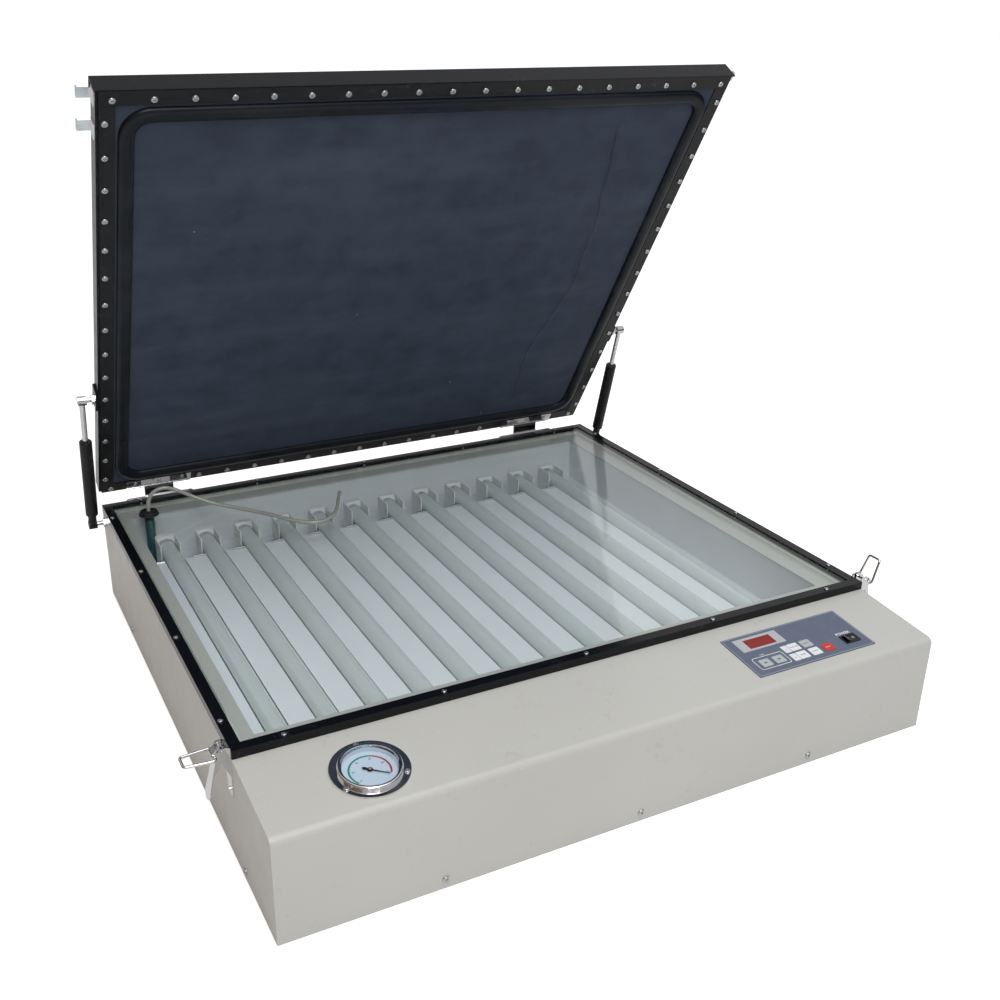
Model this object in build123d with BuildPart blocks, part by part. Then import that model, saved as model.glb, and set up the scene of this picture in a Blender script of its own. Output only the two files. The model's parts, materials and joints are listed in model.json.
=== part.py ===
from build123d import *
import math
import os

# Screen printing exposure unit: a shallow sheet-steel cabinet with twelve lamps under a glass bed,
# a sloped control console in front of the bed, and a hinged vacuum-blanket lid held open by two
# gas struts and closed by two toggle latches.
# Millimetres. Z is up, X is the width, the user stands on the -Y side. The origin is the centre of
# the cabinet's footprint, on the floor plane. Everything is drawn with the lid open.

# ---------------------------------------------------------------- driving dimensions
# fits
slip_fit = 0.05          # radial clearance of a shaft, pin or screw in its hole
running_gap = 0.3        # gap between pieces that move past each other
mitre_gap = 0.2          # saw gap at a mitred corner

# cabinet
cabinet_width = 860
bed_depth = 703          # from the front edge of the glass rim to the rear face
console_depth = 123      # from the front face to the front edge of the glass rim
wall_height = 140        # floor to the top of the cabinet's sheet metal
console_drop = 12.5      # fall of the console from the bed to the front fold
sheet = 1.5
front_fold_radius = 8
pan_flange_height = 24
case_screw_height = 12
case_screw_spacing = 246     # along the front and rear faces
case_screw_front_inset = 103
case_screw_rear_inset = 154
case_head_diameter = 8
case_head_height = 2.2
case_shank_diameter = 4

# glass bed
ledge_front = 34         # width of the ledge that carries the glass, on each side
ledge_rear = 43
ledge_left = 34
ledge_right = 48
seal_thickness = 1
seal_width = 10
glass_thickness = 8
glass_inset = 8.5        # from the cabinet's face to the edge of the glass
rim_width = 13
rim_thickness = 1.5
rim_screw_edge = 5       # from the rim's outer edge to the screws
rim_screw_end = 58       # from the corner to the first screw
rim_screws_across = 5
rim_screws_deep = 4
rim_head_diameter = 6
rim_head_height = 1.8
rim_shank_diameter = 3.5
rim_shank_length = 12

# light box
tray_floor_height = 68.5
tray_margin = 2          # the tray's walls stand this far outside the ledge's opening
tray_left_margin = 10
tray_front_reach = 27    # the tray runs this far under the front ledge
tray_flange = 5
lamp_count = 12
lamp_pitch = 60
first_lamp_from_opening = 37.5
lamp_diameter = 26
lamp_cap_over_glass = 0.4    # the end cap's radius, over the glass tube's
lamp_length = 590        # over the aluminium end caps
lamp_cap_length = 9
lamp_height = 107
lamp_rear_clearance = 55     # from the lamp's rear end to the opening's rear edge
lamp_pin_length = 7
lamp_pin_diameter = 2.4
lamp_pin_spacing = 12.7
gear_box_width = 31
gear_box_height = 38
batten_sheet = 0.8       # thin sheet of the channels and gear boxes
lamp_channel_width = 28
lamp_channel_height = 8
holder_length = 45
holder_width = 30.4
holder_rise = 4          # the shroud's edge above the top of the lamp
holder_rear_wall = 11
holder_front_wall = 7.5
clip_size = 6
clip_length = 17
clip_from_lamp_end = 60
ballast_count = 6
ballast_length = 230
ballast_width = 40
ballast_height = 28
ballast_pitch = 62

# vacuum system
cap_from_left = 57.5     # from the cabinet's left side
cap_x = cap_from_left - cabinet_width / 2
cap_y = 349
cap_base_diameter = 30
cap_base_height = 2
cap_top_diameter = 26.5
cap_top_height = 6.2     # above the glass
cap_round = 1.2
cap_spigot_diameter = 12
cap_spigot_length = 15
cap_bore_diameter = 4
stem_diameter = 15
stem_wall = 1.4
stem_foot_height = 38
suction_diameter = 9
suction_bore = 5
suction_height = 46
suction_barb = 12        # reach of the stem's side barb
suction_straight = 35    # straight run at each end of the inner tube
suction_bend = 28
pump_head_size = 58
pump_head_height = 50
pump_motor_diameter = 46
pump_motor_length = 92
pump_mount_diameter = 14
pump_mount_height = 5
pump_from_left = 210
pump_x = pump_from_left - cabinet_width / 2
pump_y = 300
hose_diameter = 6
hose_rest_gap = 0.3

# console instruments
gauge_from_left = 124.5
gauge_x = gauge_from_left - cabinet_width / 2
gauge_down = 68.4        # down the console from the bed's edge
gauge_flange_diameter = 85
gauge_flange_thickness = 2.2
gauge_ring_diameter = 69
gauge_ring_height = 7
gauge_ring_round = 2
gauge_cup_diameter = 62
gauge_cup_depth = 34
gauge_wall = 1.5
gauge_dial_thickness = 0.8
gauge_dial_depth = 1         # the dial's face, below the console sheet
gauge_movement_diameter = 36
gauge_lens_thickness = 2
gauge_screw_radius = 38.4
gauge_screw_start = -30
gauge_screw_count = 3
pointer_length = 22
pointer_tail = 9
pointer_width = 1.6
pointer_thickness = 0.6
pointer_angle = -38
pointer_post_diameter = 1.5
pointer_hub_diameter = 6
overlay_width = 180.5
overlay_from_right = 75.5    # from the cabinet's right side
overlay_right = cabinet_width / 2 - overlay_from_right
overlay_left = overlay_right - overlay_width
overlay_top = 26         # distances down the console
overlay_bottom = 103
overlay_thickness = 1
window_margin = 10           # the sheet's opening, inside the overlay's ends
key_width = 15
key_depth = 13.5
key_rise = 0.6           # above the overlay
key_travel = 0.8
key_lip = 1
lip_thickness = 1
key_corner_radius = 1.5
arrow_left_x = overlay_left + 24.3
arrow_right_x = overlay_left + 44.5
middle_key_x = overlay_left + 78.2
right_key_x = overlay_left + 97.4
stop_key_x = overlay_left + 118.5
arrow_row = 82.8
upper_row = 70.2
lower_row = 87.1
stop_row = 86.5
display_x = overlay_left + 46.2
display_down = 44.6
display_width = 40.5
display_depth = 17.3
display_below = 0.1      # the window's face, below the overlay's
rocker_x = overlay_right - 23.5
rocker_down = 83.1
rocker_width = 23
rocker_depth = 15.4
rocker_tilt = 9
rocker_rise = 1.2            # frame above the overlay
rocker_body_height = 16
rocker_wall = 0.8
rocker_gap = 0.9             # rocker's end to the frame
rocker_pin_radius = 1.4
rocker_pivot_height = -1
rocker_end_rise = 4.4        # rocker's ends and middle, above its pivot
rocker_middle_rise = 2.6
board_depth = 9          # the circuit board's face, below the console sheet
board_thickness = 1.6
board_inset = 4          # from the overlay's left end
post_inset = 3.5         # from the board's edges
post_radius = 3
switch_size = 6
plunger_radius = 2
plunger_length = 1.2
plunger_gap = 0.2        # pressed key's plunger to its switch

# lid
lid_side_inset = 1       # the lid stands this far in from each side
lid_width = cabinet_width - 2 * lid_side_inset
lid_length = 704
lid_thickness = 25
lid_open_angle = 59
hinge_axis_behind = 15.5     # behind the rear face
hinge_axis_rise = 2          # above the sheet metal's top
lid_edge_inset = 0.15        # closed lid's hinge edge, ahead of the rear face
lid_face_rise = 13.2         # closed lid's lower face, above the hinge axis
strip_width = 18
strip_thickness = 1.5
strip_side_margin = 3.5
blanket_thickness = 1.5
frame_bar_width = 25
frame_wall = 1.5
bead_width = 19
bead_height = 7.3
bead_side_inset = 24         # from the lid's side to the bead's outer foot
bead_end_inset = 21
bead_outer_radius = 39
bead_round = 6.9
lid_screws_across = 19
lid_screws_deep = 15
lid_screw_corner_x = 17.5    # end screws of the top and bottom rows, from the lid's sides
lid_screw_row_inset = 8      # bottom row from the hinge edge
lid_screw_top_inset = 10.6
lid_screw_side_inset = 9.5
lid_screw_side_first = 33
lid_screw_side_last = 40
lid_head_diameter = 8
lid_head_height = 2.2
lid_shank_diameter = 4
lid_shank_length = 7
channel_overhang = 1.8
channel_thickness = 2
channel_lip = 12

# hinges
hinge_width = 100
hinge_left_x = -338
hinge_right_x = 322
hinge_leaf = 2
hinge_barrel_diameter = 9
hinge_pin_diameter = 5
hinge_pin_lip = 1            # peened ends, over the pin
hinge_middle_width = 45
hinge_base_drop = 34
hinge_lid_reach = 18
hinge_knuckle_gap = 0.25
hinge_head_height = 1.4
hinge_screw_spread = 36      # outer screws, either side of the hinge's middle
hinge_screw_along = 12       # lid leaf's screws, from the lid's hinge edge
hinge_screw_drop = 24        # base leaf's screws, below the hinge axis

# gas struts
strut_plane = 19.5           # ball centres, outside the cabinet's side
strut_ball_diameter = 10
strut_base_ahead = 38        # lower ball, ahead of and below the hinge axis
strut_base_below = 11
strut_lid_along = 220.4      # upper ball, along and above the lid from the hinge axis
strut_lid_above = 23.8
strut_tube_diameter = 18
strut_tube_length = 132
strut_tube_start = 19        # from the lower ball
strut_tube_wall = 1.5
strut_gland_length = 6
strut_rod_diameter = 8
strut_socket_diameter = 14
strut_socket_length = 12
neck_radius = 6
nut_width = 13
nut_height = 4
strut_stud_diameter = 7
strut_piston_length = 6
strut_plate_thickness = 3
strut_plate_along = 34

# toggle latches
latch_from_rim_front = 11
latch_pivot_out = 9
latch_pivot_rise = 10        # above the sheet metal's top
latch_base_width = 18
latch_base_bottom = 92
latch_base_top = 138
latch_cheek = 1.2
latch_cheek_span = 17.2      # over the two cheeks
latch_pin_diameter = 3.6
lever_length = 59
lever_lean = 13.5
lever_width = 14.2
lever_wall = 1.3
lever_paddle_width = 18
bail_out = 7                 # bail pivot, outward from and below the lever's pivot
bail_below = 5
bail_wire = 3.2
bail_length = 33
bail_root_width = 24
bail_tip_width = 18.4
bail_corner_radius = 3
bail_pin_inset = 0.5         # bail's ends, inside the lever's ears
lever_web_start = 13         # the paddle's sheet and its shoulder, down from the pivot
lever_shoulder = 34
lever_web_out = 4.5          # the paddle's face, out from the pivot
rivet_radius = 2.5
rivet_inset = 6              # rivets, from the base plate's ends
cheek_foot = 20              # length of each cheek's foot on the base plate
left_bail_lean = 90          # outward from upright
right_bail_lean = 22
keeper_width = 20
keeper_hook_width = 12.5
keeper_reach = 17
keeper_thickness = 1.5
keeper_second_along = 42     # the spare keeper, from the first towards the hinges
keeper_foot = 5              # keeper's foot, shelf and lip, above the lid's lower face
keeper_shelf = 17.4
keeper_lip_top = 23

# mains inlet
inlet_x = 330
inlet_z = 62
inlet_width = 50
inlet_height = 28
inlet_body_width = 46
inlet_body_height = 24
inlet_flange = 3
inlet_depth = 24
socket_width = 24.5
socket_height = 16.5
socket_depth = 16
socket_corner = 4        # cut off each upper corner of the socket
blade_spread = 7         # outer blades, either side of the middle one
blade_offset = 2         # blades' rows, either side of the inlet's middle
blade_width = 2
blade_height = 4
blade_below_face = 3
vent_rows = 6
vent_columns = 4
vent_length = 60
vent_height = 4
vent_pitch_x = 90
vent_pitch_z = 11

# ---------------------------------------------------------------- derived places
cabinet_depth = bed_depth + console_depth
rear_y = cabinet_depth / 2
front_y = -cabinet_depth / 2
bed_front_y = front_y + console_depth
bed_middle_y = (bed_front_y + rear_y) / 2
side_x = cabinet_width / 2
inner_width = cabinet_width - 2 * sheet
inner_depth = cabinet_depth - 2 * sheet

opening_left = -side_x + ledge_left
opening_right = side_x - ledge_right
opening_front = bed_front_y + ledge_front
opening_rear = rear_y - ledge_rear
opening_x = (opening_left + opening_right) / 2
opening_y = (opening_front + opening_rear) / 2
opening_width = opening_right - opening_left
opening_depth = opening_rear - opening_front

glass_bottom = wall_height + seal_thickness
glass_top = glass_bottom + glass_thickness
rim_top = glass_top + rim_thickness
glass_width = cabinet_width - 2 * glass_inset
glass_depth = bed_depth - 2 * glass_inset

console_angle = math.degrees(math.atan2(console_drop, console_depth))
console_normal = Vector(0, -math.sin(math.radians(console_angle)), math.cos(math.radians(console_angle)))
console_face = Plane(origin=(0, bed_front_y, wall_height), x_dir=(1, 0, 0), z_dir=console_normal)

axis_y = rear_y + hinge_axis_behind
axis_z = wall_height + hinge_axis_rise
open_sine = math.sin(math.radians(lid_open_angle))
open_cosine = math.cos(math.radians(lid_open_angle))
lid_edge = hinge_axis_behind + lid_edge_inset     # lid's hinge edge, from the axis along the lid


def lid_point(along, above):
    """Y and Z of a point of the open lid, from its distances along and above the hinge axis."""
    y = axis_y - along * open_cosine + above * open_sine
    z = axis_z + along * open_sine + above * open_cosine
    return y, z


# lid_face: X is the width, Y runs from the hinge edge to the free edge, Z leaves the lower face
edge_y, edge_z = lid_point(lid_edge, lid_face_rise)
lid_face = Plane(origin=(0, edge_y, edge_z), x_dir=(1, 0, 0), z_dir=(0, -open_sine, -open_cosine))
# lid_section: X runs along the lid from the hinge axis, Y rises towards the lid's upper face
lid_section = Plane(origin=(0, axis_y, axis_z), x_dir=(0, -open_cosine, open_sine), z_dir=(-1, 0, 0))


def side_section(x):
    """Upright plane across the cabinet at x, with Y as its first and Z as its second direction."""
    return Plane.YZ.offset(x)


def screw(head_diameter, head_height, shank_diameter, shank_length):
    """Pan head screw with a cross recess, its head seated at height 0 and its shank below."""
    recess_length = 0.55 * head_diameter
    recess_width = 0.13 * head_diameter
    recess_depth = 0.5 * head_height
    with BuildPart() as body:
        Cylinder(head_diameter / 2, head_height, align=(Align.CENTER, Align.CENTER, Align.MIN))
        fillet(body.edges().group_by(Axis.Z)[-1], 0.6 * head_height)
        with Locations((0, 0, head_height)):
            Box(recess_length, recess_width, 2 * recess_depth, mode=Mode.SUBTRACT)
            Box(recess_width, recess_length, 2 * recess_depth, mode=Mode.SUBTRACT)
        Cylinder(shank_diameter / 2, shank_length, align=(Align.CENTER, Align.CENTER, Align.MAX))
    return body.part


def even_places(first, last, count):
    """Evenly spaced places from first to last."""
    return [first + (last - first) * index / (count - 1) for index in range(count)]


def save(part, name):
    """Label a finished piece and write it."""
    part.label = name
    export_step(part, f"parts/{name}.step")


os.makedirs("parts", exist_ok=True)

# ---------------------------------------------------------------- screw places
case_screw_x = [-case_screw_spacing, 0, case_screw_spacing]
case_screw_y = [front_y + case_screw_front_inset, rear_y - case_screw_rear_inset]
case_hole_radius = case_shank_diameter / 2 + slip_fit

rim_screw_x = even_places(-side_x + rim_screw_end, side_x - rim_screw_end, rim_screws_across)
rim_screw_y = even_places(bed_front_y + rim_screw_end, rear_y - rim_screw_end, rim_screws_deep)
rim_screw_points = [(x, bed_front_y + rim_screw_edge) for x in rim_screw_x]
rim_screw_points += [(x, rear_y - rim_screw_edge) for x in rim_screw_x]
rim_screw_points += [(-side_x + rim_screw_edge, y) for y in rim_screw_y]
rim_screw_points += [(side_x - rim_screw_edge, y) for y in rim_screw_y]
rim_hole_radius = rim_shank_diameter / 2 + slip_fit

hinge_middles = (hinge_left_x, hinge_right_x)
hinge_screw_x = [x + step * hinge_screw_spread for x in hinge_middles for step in (-1, 0, 1)]
hinge_screw_z = axis_z - hinge_screw_drop

# ---------------------------------------------------------------- cabinet
with BuildPart() as base_pan:
    # flat floor with an upturned flange all round, screwed to the walls
    with BuildSketch():
        Rectangle(inner_width, inner_depth)
    extrude(amount=sheet)
    with BuildSketch(Plane.XY.offset(sheet)):
        Rectangle(inner_width, inner_depth)
        Rectangle(inner_width - 2 * sheet, inner_depth - 2 * sheet, mode=Mode.SUBTRACT)
    extrude(amount=pan_flange_height - sheet)
    with BuildSketch(Plane.YZ):
        with Locations(*[(y, case_screw_height) for y in case_screw_y]):
            Circle(case_hole_radius)
    extrude(amount=side_x, both=True, mode=Mode.SUBTRACT)
    with BuildSketch(Plane.XZ):
        with Locations(*[(x, case_screw_height) for x in case_screw_x]):
            Circle(case_hole_radius)
    extrude(amount=rear_y, both=True, mode=Mode.SUBTRACT)
save(base_pan.part, "base_pan")

strut_base_y = axis_y - strut_base_ahead
strut_base_z = axis_z - strut_base_below
stud_hole_radius = strut_stud_diameter / 2 + slip_fit

for side, name in ((-1, "left_side_panel"), (1, "right_side_panel")):
    with BuildPart() as side_panel:
        with BuildSketch(side_section(side * (side_x - sheet / 2))) as outline:
            with BuildLine():
                Polyline(
                    (rear_y, 0),
                    (rear_y, wall_height),
                    (bed_front_y, wall_height),
                    (front_y, wall_height - console_drop),
                    (front_y, 0),
                    close=True,
                )
            make_face()
            fillet(outline.vertices().sort_by(Axis.X)[:2].sort_by(Axis.Y)[-1:], front_fold_radius)
            with Locations(*[(y, case_screw_height) for y in case_screw_y]):
                Circle(case_hole_radius, mode=Mode.SUBTRACT)
            with Locations((strut_base_y, strut_base_z)):
                Circle(stud_hole_radius, mode=Mode.SUBTRACT)
        extrude(amount=sheet / 2, both=True)
    save(side_panel.part, name)

window_left = overlay_left + window_margin
window_right = overlay_right - window_margin
window_top = overlay_top + window_margin / 2
window_bottom = overlay_bottom - window_margin / 2

with BuildPart() as front_panel:
    # one sheet: the upright front, the soft fold and the sloped console
    with BuildSketch(Plane.YZ):
        with BuildLine():
            FilletPolyline(
                (front_y, 0),
                (front_y, wall_height - console_drop),
                (bed_front_y, wall_height),
                radius=front_fold_radius,
            )
            offset(amount=sheet, side=Side.RIGHT)
        make_face()
    extrude(amount=inner_width / 2, both=True)
    with BuildSketch(console_face):
        with Locations((gauge_x, -gauge_down)):
            Circle(gauge_cup_diameter / 2 + slip_fit)
        with Locations(((window_left + window_right) / 2, -(window_top + window_bottom) / 2)):
            RectangleRounded(window_right - window_left, window_bottom - window_top, 3)
        with Locations((gauge_x, -gauge_down)):
            with PolarLocations(gauge_screw_radius, gauge_screw_count, start_angle=gauge_screw_start):
                Circle(rim_hole_radius)
    extrude(amount=3 * sheet, both=True, mode=Mode.SUBTRACT)
    with BuildSketch(Plane.XZ.offset(-front_y)):
        with Locations(*[(x, case_screw_height) for x in case_screw_x]):
            Circle(case_hole_radius)
    extrude(amount=-2 * sheet, mode=Mode.SUBTRACT)
save(front_panel.part, "front_panel")

with BuildPart() as rear_panel:
    with BuildSketch(Plane.XZ.offset(-rear_y)):
        with Locations((0, wall_height / 2)):
            Rectangle(inner_width, wall_height)
        with Locations(*[(x, case_screw_height) for x in case_screw_x]):
            Circle(case_hole_radius, mode=Mode.SUBTRACT)
        with Locations((inlet_x, inlet_z)):
            Rectangle(inlet_body_width, inlet_body_height, mode=Mode.SUBTRACT)
        with Locations(*[(x, hinge_screw_z) for x in hinge_screw_x]):
            Circle(rim_hole_radius, mode=Mode.SUBTRACT)
        with Locations((0, inlet_z)):
            with GridLocations(vent_pitch_x, vent_pitch_z, vent_columns, vent_rows):
                SlotOverall(vent_length, vent_height, mode=Mode.SUBTRACT)
    extrude(amount=sheet)
save(rear_panel.part, "rear_panel")

with BuildPart() as glass_ledge:
    # inward flange that carries the glass
    with BuildSketch(Plane.XY.offset(wall_height - sheet)):
        with Locations((0, (bed_front_y + mitre_gap + rear_y - sheet) / 2)):
            Rectangle(inner_width, bed_depth - sheet - mitre_gap)
        with Locations((opening_x, opening_y)):
            RectangleRounded(opening_width, opening_depth, 2, mode=Mode.SUBTRACT)
        with Locations(*rim_screw_points):
            Circle(rim_hole_radius, mode=Mode.SUBTRACT)
    extrude(amount=sheet)
save(glass_ledge.part, "glass_ledge")

case_screw = screw(case_head_diameter, case_head_height, case_shank_diameter, 4 * sheet)
rim_screw = screw(rim_head_diameter, rim_head_height, rim_shank_diameter, rim_shank_length)
gauge_screw = screw(rim_head_diameter, rim_head_height, rim_shank_diameter, 4 * sheet)
hinge_screw = screw(rim_head_diameter, hinge_head_height, rim_shank_diameter, 4 * sheet)
leaf_face = Plane(origin=(0, rear_y + hinge_leaf, 0), x_dir=(1, 0, 0), z_dir=(0, 1, 0))

with BuildPart() as case_screws:
    with Locations(*[(x, y, rim_top) for x, y in rim_screw_points]):
        add(rim_screw)
    for side in (-1, 1):
        side_face = Plane(origin=(side * side_x, 0, 0), x_dir=(0, 1, 0), z_dir=(side, 0, 0))
        with Locations(side_face):
            with Locations(*[(y, side * case_screw_height) for y in case_screw_y]):
                add(case_screw)
        end_face = Plane(origin=(0, side * rear_y, 0), x_dir=(1, 0, 0), z_dir=(0, side, 0))
        with Locations(end_face):
            with Locations(*[(x, -side * case_screw_height) for x in case_screw_x]):
                add(case_screw)
    with Locations(leaf_face):
        with Locations(*[(x, -hinge_screw_z) for x in hinge_screw_x]):
            add(hinge_screw)
    with Locations(console_face.offset(gauge_flange_thickness)):
        with Locations((gauge_x, -gauge_down)):
            with PolarLocations(gauge_screw_radius, gauge_screw_count, start_angle=gauge_screw_start):
                add(gauge_screw)
save(case_screws.part, "case_screws")

# ---------------------------------------------------------------- light box
tray_left = opening_left - tray_left_margin
tray_right = opening_right + tray_margin
tray_front = opening_front - tray_front_reach
tray_rear = opening_rear + tray_margin
tray_x = (tray_left + tray_right) / 2
tray_y = (tray_front + tray_rear) / 2
tray_width = tray_right - tray_left
tray_depth = tray_rear - tray_front
tray_top = wall_height - sheet
tray_floor = tray_floor_height + sheet

with BuildPart() as light_tray:
    # folded white pan, hung from the ledge by its flange
    with BuildSketch(Plane.XY.offset(tray_floor_height)):
        with Locations((tray_x, tray_y)):
            Rectangle(tray_width + 2 * sheet, tray_depth + 2 * sheet)
    extrude(amount=tray_top - tray_floor_height)
    with BuildSketch(Plane.XY.offset(tray_floor)):
        with Locations((tray_x, tray_y)):
            Rectangle(tray_width, tray_depth)
    extrude(amount=tray_top - tray_floor, mode=Mode.SUBTRACT)
    with BuildSketch(Plane.XY.offset(tray_top - sheet)):
        with Locations((tray_x, tray_y)):
            Rectangle(tray_width + 2 * tray_flange, tray_depth + 2 * tray_flange)
            Rectangle(tray_width, tray_depth, mode=Mode.SUBTRACT)
    extrude(amount=sheet)
    with Locations((cap_x, cap_y, tray_floor_height)):
        Cylinder(stem_diameter / 2 + slip_fit, 4 * sheet, mode=Mode.SUBTRACT)
save(light_tray.part, "light_tray")

lamp_x = [opening_left + first_lamp_from_opening + lamp_pitch * index for index in range(lamp_count)]
lamp_rear = opening_rear - lamp_rear_clearance
lamp_front = lamp_rear - lamp_length
lamp_middle_y = (lamp_front + lamp_rear) / 2
lamp_radius = lamp_diameter / 2
lamp_bottom = tray_floor + lamp_channel_height
gear_top = tray_floor + gear_box_height
holder_rear_end = lamp_rear + holder_rear_wall
holder_rear_start = holder_rear_end - holder_length
holder_front_end = lamp_front - holder_front_wall
holder_front_start = holder_front_end + holder_length
holder_top = lamp_height + lamp_radius + holder_rise
pocket_width = lamp_diameter + 2 * running_gap
gear_right = -lamp_channel_width / 2
gear_x = gear_right - gear_box_width / 2
gear_rear = lamp_rear - clip_from_lamp_end + clip_size
gear_front = holder_front_start + running_gap

with BuildPart() as lamp_battens:
    # each lamp has a low channel under it and a tall gear box on its left, hollow and open below
    for inset, mode in ((0, Mode.ADD), (batten_sheet, Mode.SUBTRACT)):
        with BuildSketch(Plane.XY.offset(tray_floor)):
            with Locations(*[(x, lamp_middle_y) for x in lamp_x]):
                Rectangle(lamp_channel_width - 2 * inset, lamp_length - 2 * inset)
        extrude(amount=lamp_channel_height - inset, mode=mode)
        with BuildSketch(Plane.XY.offset(tray_floor)):
            with Locations(*[(x + gear_x, (gear_front + gear_rear) / 2) for x in lamp_x]):
                Rectangle(gear_box_width - 2 * inset, gear_rear - gear_front - 2 * inset)
        extrude(amount=gear_box_height - inset, mode=mode)
save(lamp_battens.part, "lamp_battens")

with BuildPart() as lamp_holders:
    # rounded plastic shrouds that cup both ends of each lamp, standing on the channels
    for end_y, start_y, lamp_end in (
        (holder_rear_end, holder_rear_start, lamp_rear),
        (holder_front_end, holder_front_start, lamp_front),
    ):
        outward = 1 if end_y > start_y else -1
        with BuildSketch(Plane.XY.offset(lamp_bottom)) as shrouds:
            with Locations(*[(x, (end_y + start_y) / 2) for x in lamp_x]):
                Rectangle(holder_width, holder_length)
            far_corners = shrouds.vertices().group_by(Axis.Y)[-1 if outward > 0 else 0]
            fillet(far_corners, abs(end_y - lamp_end))
            with Locations(*[(x, (lamp_end + start_y) / 2) for x in lamp_x]):
                Rectangle(pocket_width, abs(lamp_end - start_y), mode=Mode.SUBTRACT)
        extrude(amount=holder_top - lamp_bottom)
        with BuildSketch(Plane.XZ.offset(-lamp_end)):
            with Locations(*[(x, lamp_height) for x in lamp_x]):
                with GridLocations(lamp_pin_spacing, 1, 2, 1):
                    Circle(lamp_pin_diameter / 2 + slip_fit)
        extrude(amount=-outward * lamp_pin_length, mode=Mode.SUBTRACT)
save(lamp_holders.part, "lamp_holders")

glass_tube_length = lamp_length - 2 * lamp_cap_length

with BuildPart() as lamp_tubes:
    with BuildSketch(Plane.XZ.offset(-lamp_middle_y)):
        with Locations(*[(x, lamp_height) for x in lamp_x]):
            Circle(lamp_radius - lamp_cap_over_glass)
    extrude(amount=glass_tube_length / 2, both=True)
save(lamp_tubes.part, "lamp_tubes")

with BuildPart() as lamp_caps:
    # aluminium end caps with two contact pins, which reach into the shroud's end wall
    for end_y, outward in ((lamp_rear, 1), (lamp_front, -1)):
        with BuildSketch(Plane.XZ.offset(-end_y)):
            with Locations(*[(x, lamp_height) for x in lamp_x]):
                Circle(lamp_radius)
        extrude(amount=outward * lamp_cap_length)
        with BuildSketch(Plane.XZ.offset(-end_y)):
            with Locations(*[(x, lamp_height) for x in lamp_x]):
                with GridLocations(lamp_pin_spacing, 1, 2, 1):
                    Circle(lamp_pin_diameter / 2)
        extrude(amount=-outward * (lamp_pin_length - running_gap))
save(lamp_caps.part, "lamp_caps")

clip_planes = [side_section(x + gear_right - gear_box_width / 3) for x in lamp_x]

with BuildPart() as lamp_clips:
    # small spring clips across the rear ends of the gear boxes
    with BuildSketch(*clip_planes):
        with Locations((gear_rear - clip_size / 2, gear_top)):
            Rectangle(clip_size, clip_size / 3, align=(Align.CENTER, Align.MIN))
        with Locations((gear_rear - clip_size / 2, gear_top + clip_size / 3)):
            Circle(clip_size / 3)
    extrude(amount=clip_length / 2, both=True)
save(lamp_clips.part, "lamp_clips")

with BuildPart() as ballasts:
    with Locations((0, front_y / 3, sheet)):
        with GridLocations(1, ballast_pitch, 1, ballast_count):
            Box(
                ballast_length,
                ballast_width,
                ballast_height,
                align=(Align.CENTER, Align.CENTER, Align.MIN),
            )
    fillet(ballasts.edges().filter_by(Axis.X).group_by(Axis.Z)[-1], 2)
save(ballasts.part, "ballasts")

# ---------------------------------------------------------------- glass bed
with BuildPart() as glass_seal:
    with BuildSketch(Plane.XY.offset(wall_height)):
        with Locations((0, bed_middle_y)):
            Rectangle(glass_width, glass_depth)
            Rectangle(glass_width - 2 * seal_width, glass_depth - 2 * seal_width, mode=Mode.SUBTRACT)
    extrude(amount=seal_thickness)
save(glass_seal.part, "glass_seal")

with BuildPart() as glass_plate:
    with BuildSketch(Plane.XY.offset(glass_bottom)):
        with Locations((0, bed_middle_y)):
            RectangleRounded(glass_width, glass_depth, 3)
        with Locations((cap_x, cap_y)):
            Circle(cap_spigot_diameter / 2 + slip_fit, mode=Mode.SUBTRACT)
    extrude(amount=glass_thickness)
save(glass_plate.part, "glass_plate")

with BuildPart() as rim_angles:
    # four mitred angle bars: a flange on the glass and a leg on the cabinet's edge
    with BuildSketch(Plane.XY.offset(glass_top)):
        with Locations((0, bed_middle_y)):
            Rectangle(cabinet_width, bed_depth)
            Rectangle(cabinet_width - 2 * rim_width, bed_depth - 2 * rim_width, mode=Mode.SUBTRACT)
        with Locations(*rim_screw_points):
            Circle(rim_hole_radius, mode=Mode.SUBTRACT)
    extrude(amount=rim_thickness)
    with BuildSketch(Plane.XY.offset(wall_height)):
        with Locations((0, bed_middle_y)):
            Rectangle(cabinet_width, bed_depth)
            Rectangle(
                cabinet_width - 2 * rim_thickness,
                bed_depth - 2 * rim_thickness,
                mode=Mode.SUBTRACT,
            )
    extrude(amount=glass_top - wall_height)
    for side_sign, end_sign in ((-1, -1), (-1, 1), (1, -1), (1, 1)):
        corner_x = side_sign * (side_x - rim_width / 2)
        corner_y = bed_middle_y + end_sign * (bed_depth / 2 - rim_width / 2)
        with Locations((corner_x, corner_y, rim_top)):
            Box(
                2 * rim_width,
                mitre_gap,
                4 * glass_thickness,
                rotation=(0, 0, 45 * side_sign * end_sign),
                mode=Mode.SUBTRACT,
            )
save(rim_angles.part, "rim_angles")

# ---------------------------------------------------------------- vacuum system
cap_top = glass_top + cap_top_height
cap_centre = (cap_x, cap_y)

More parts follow.
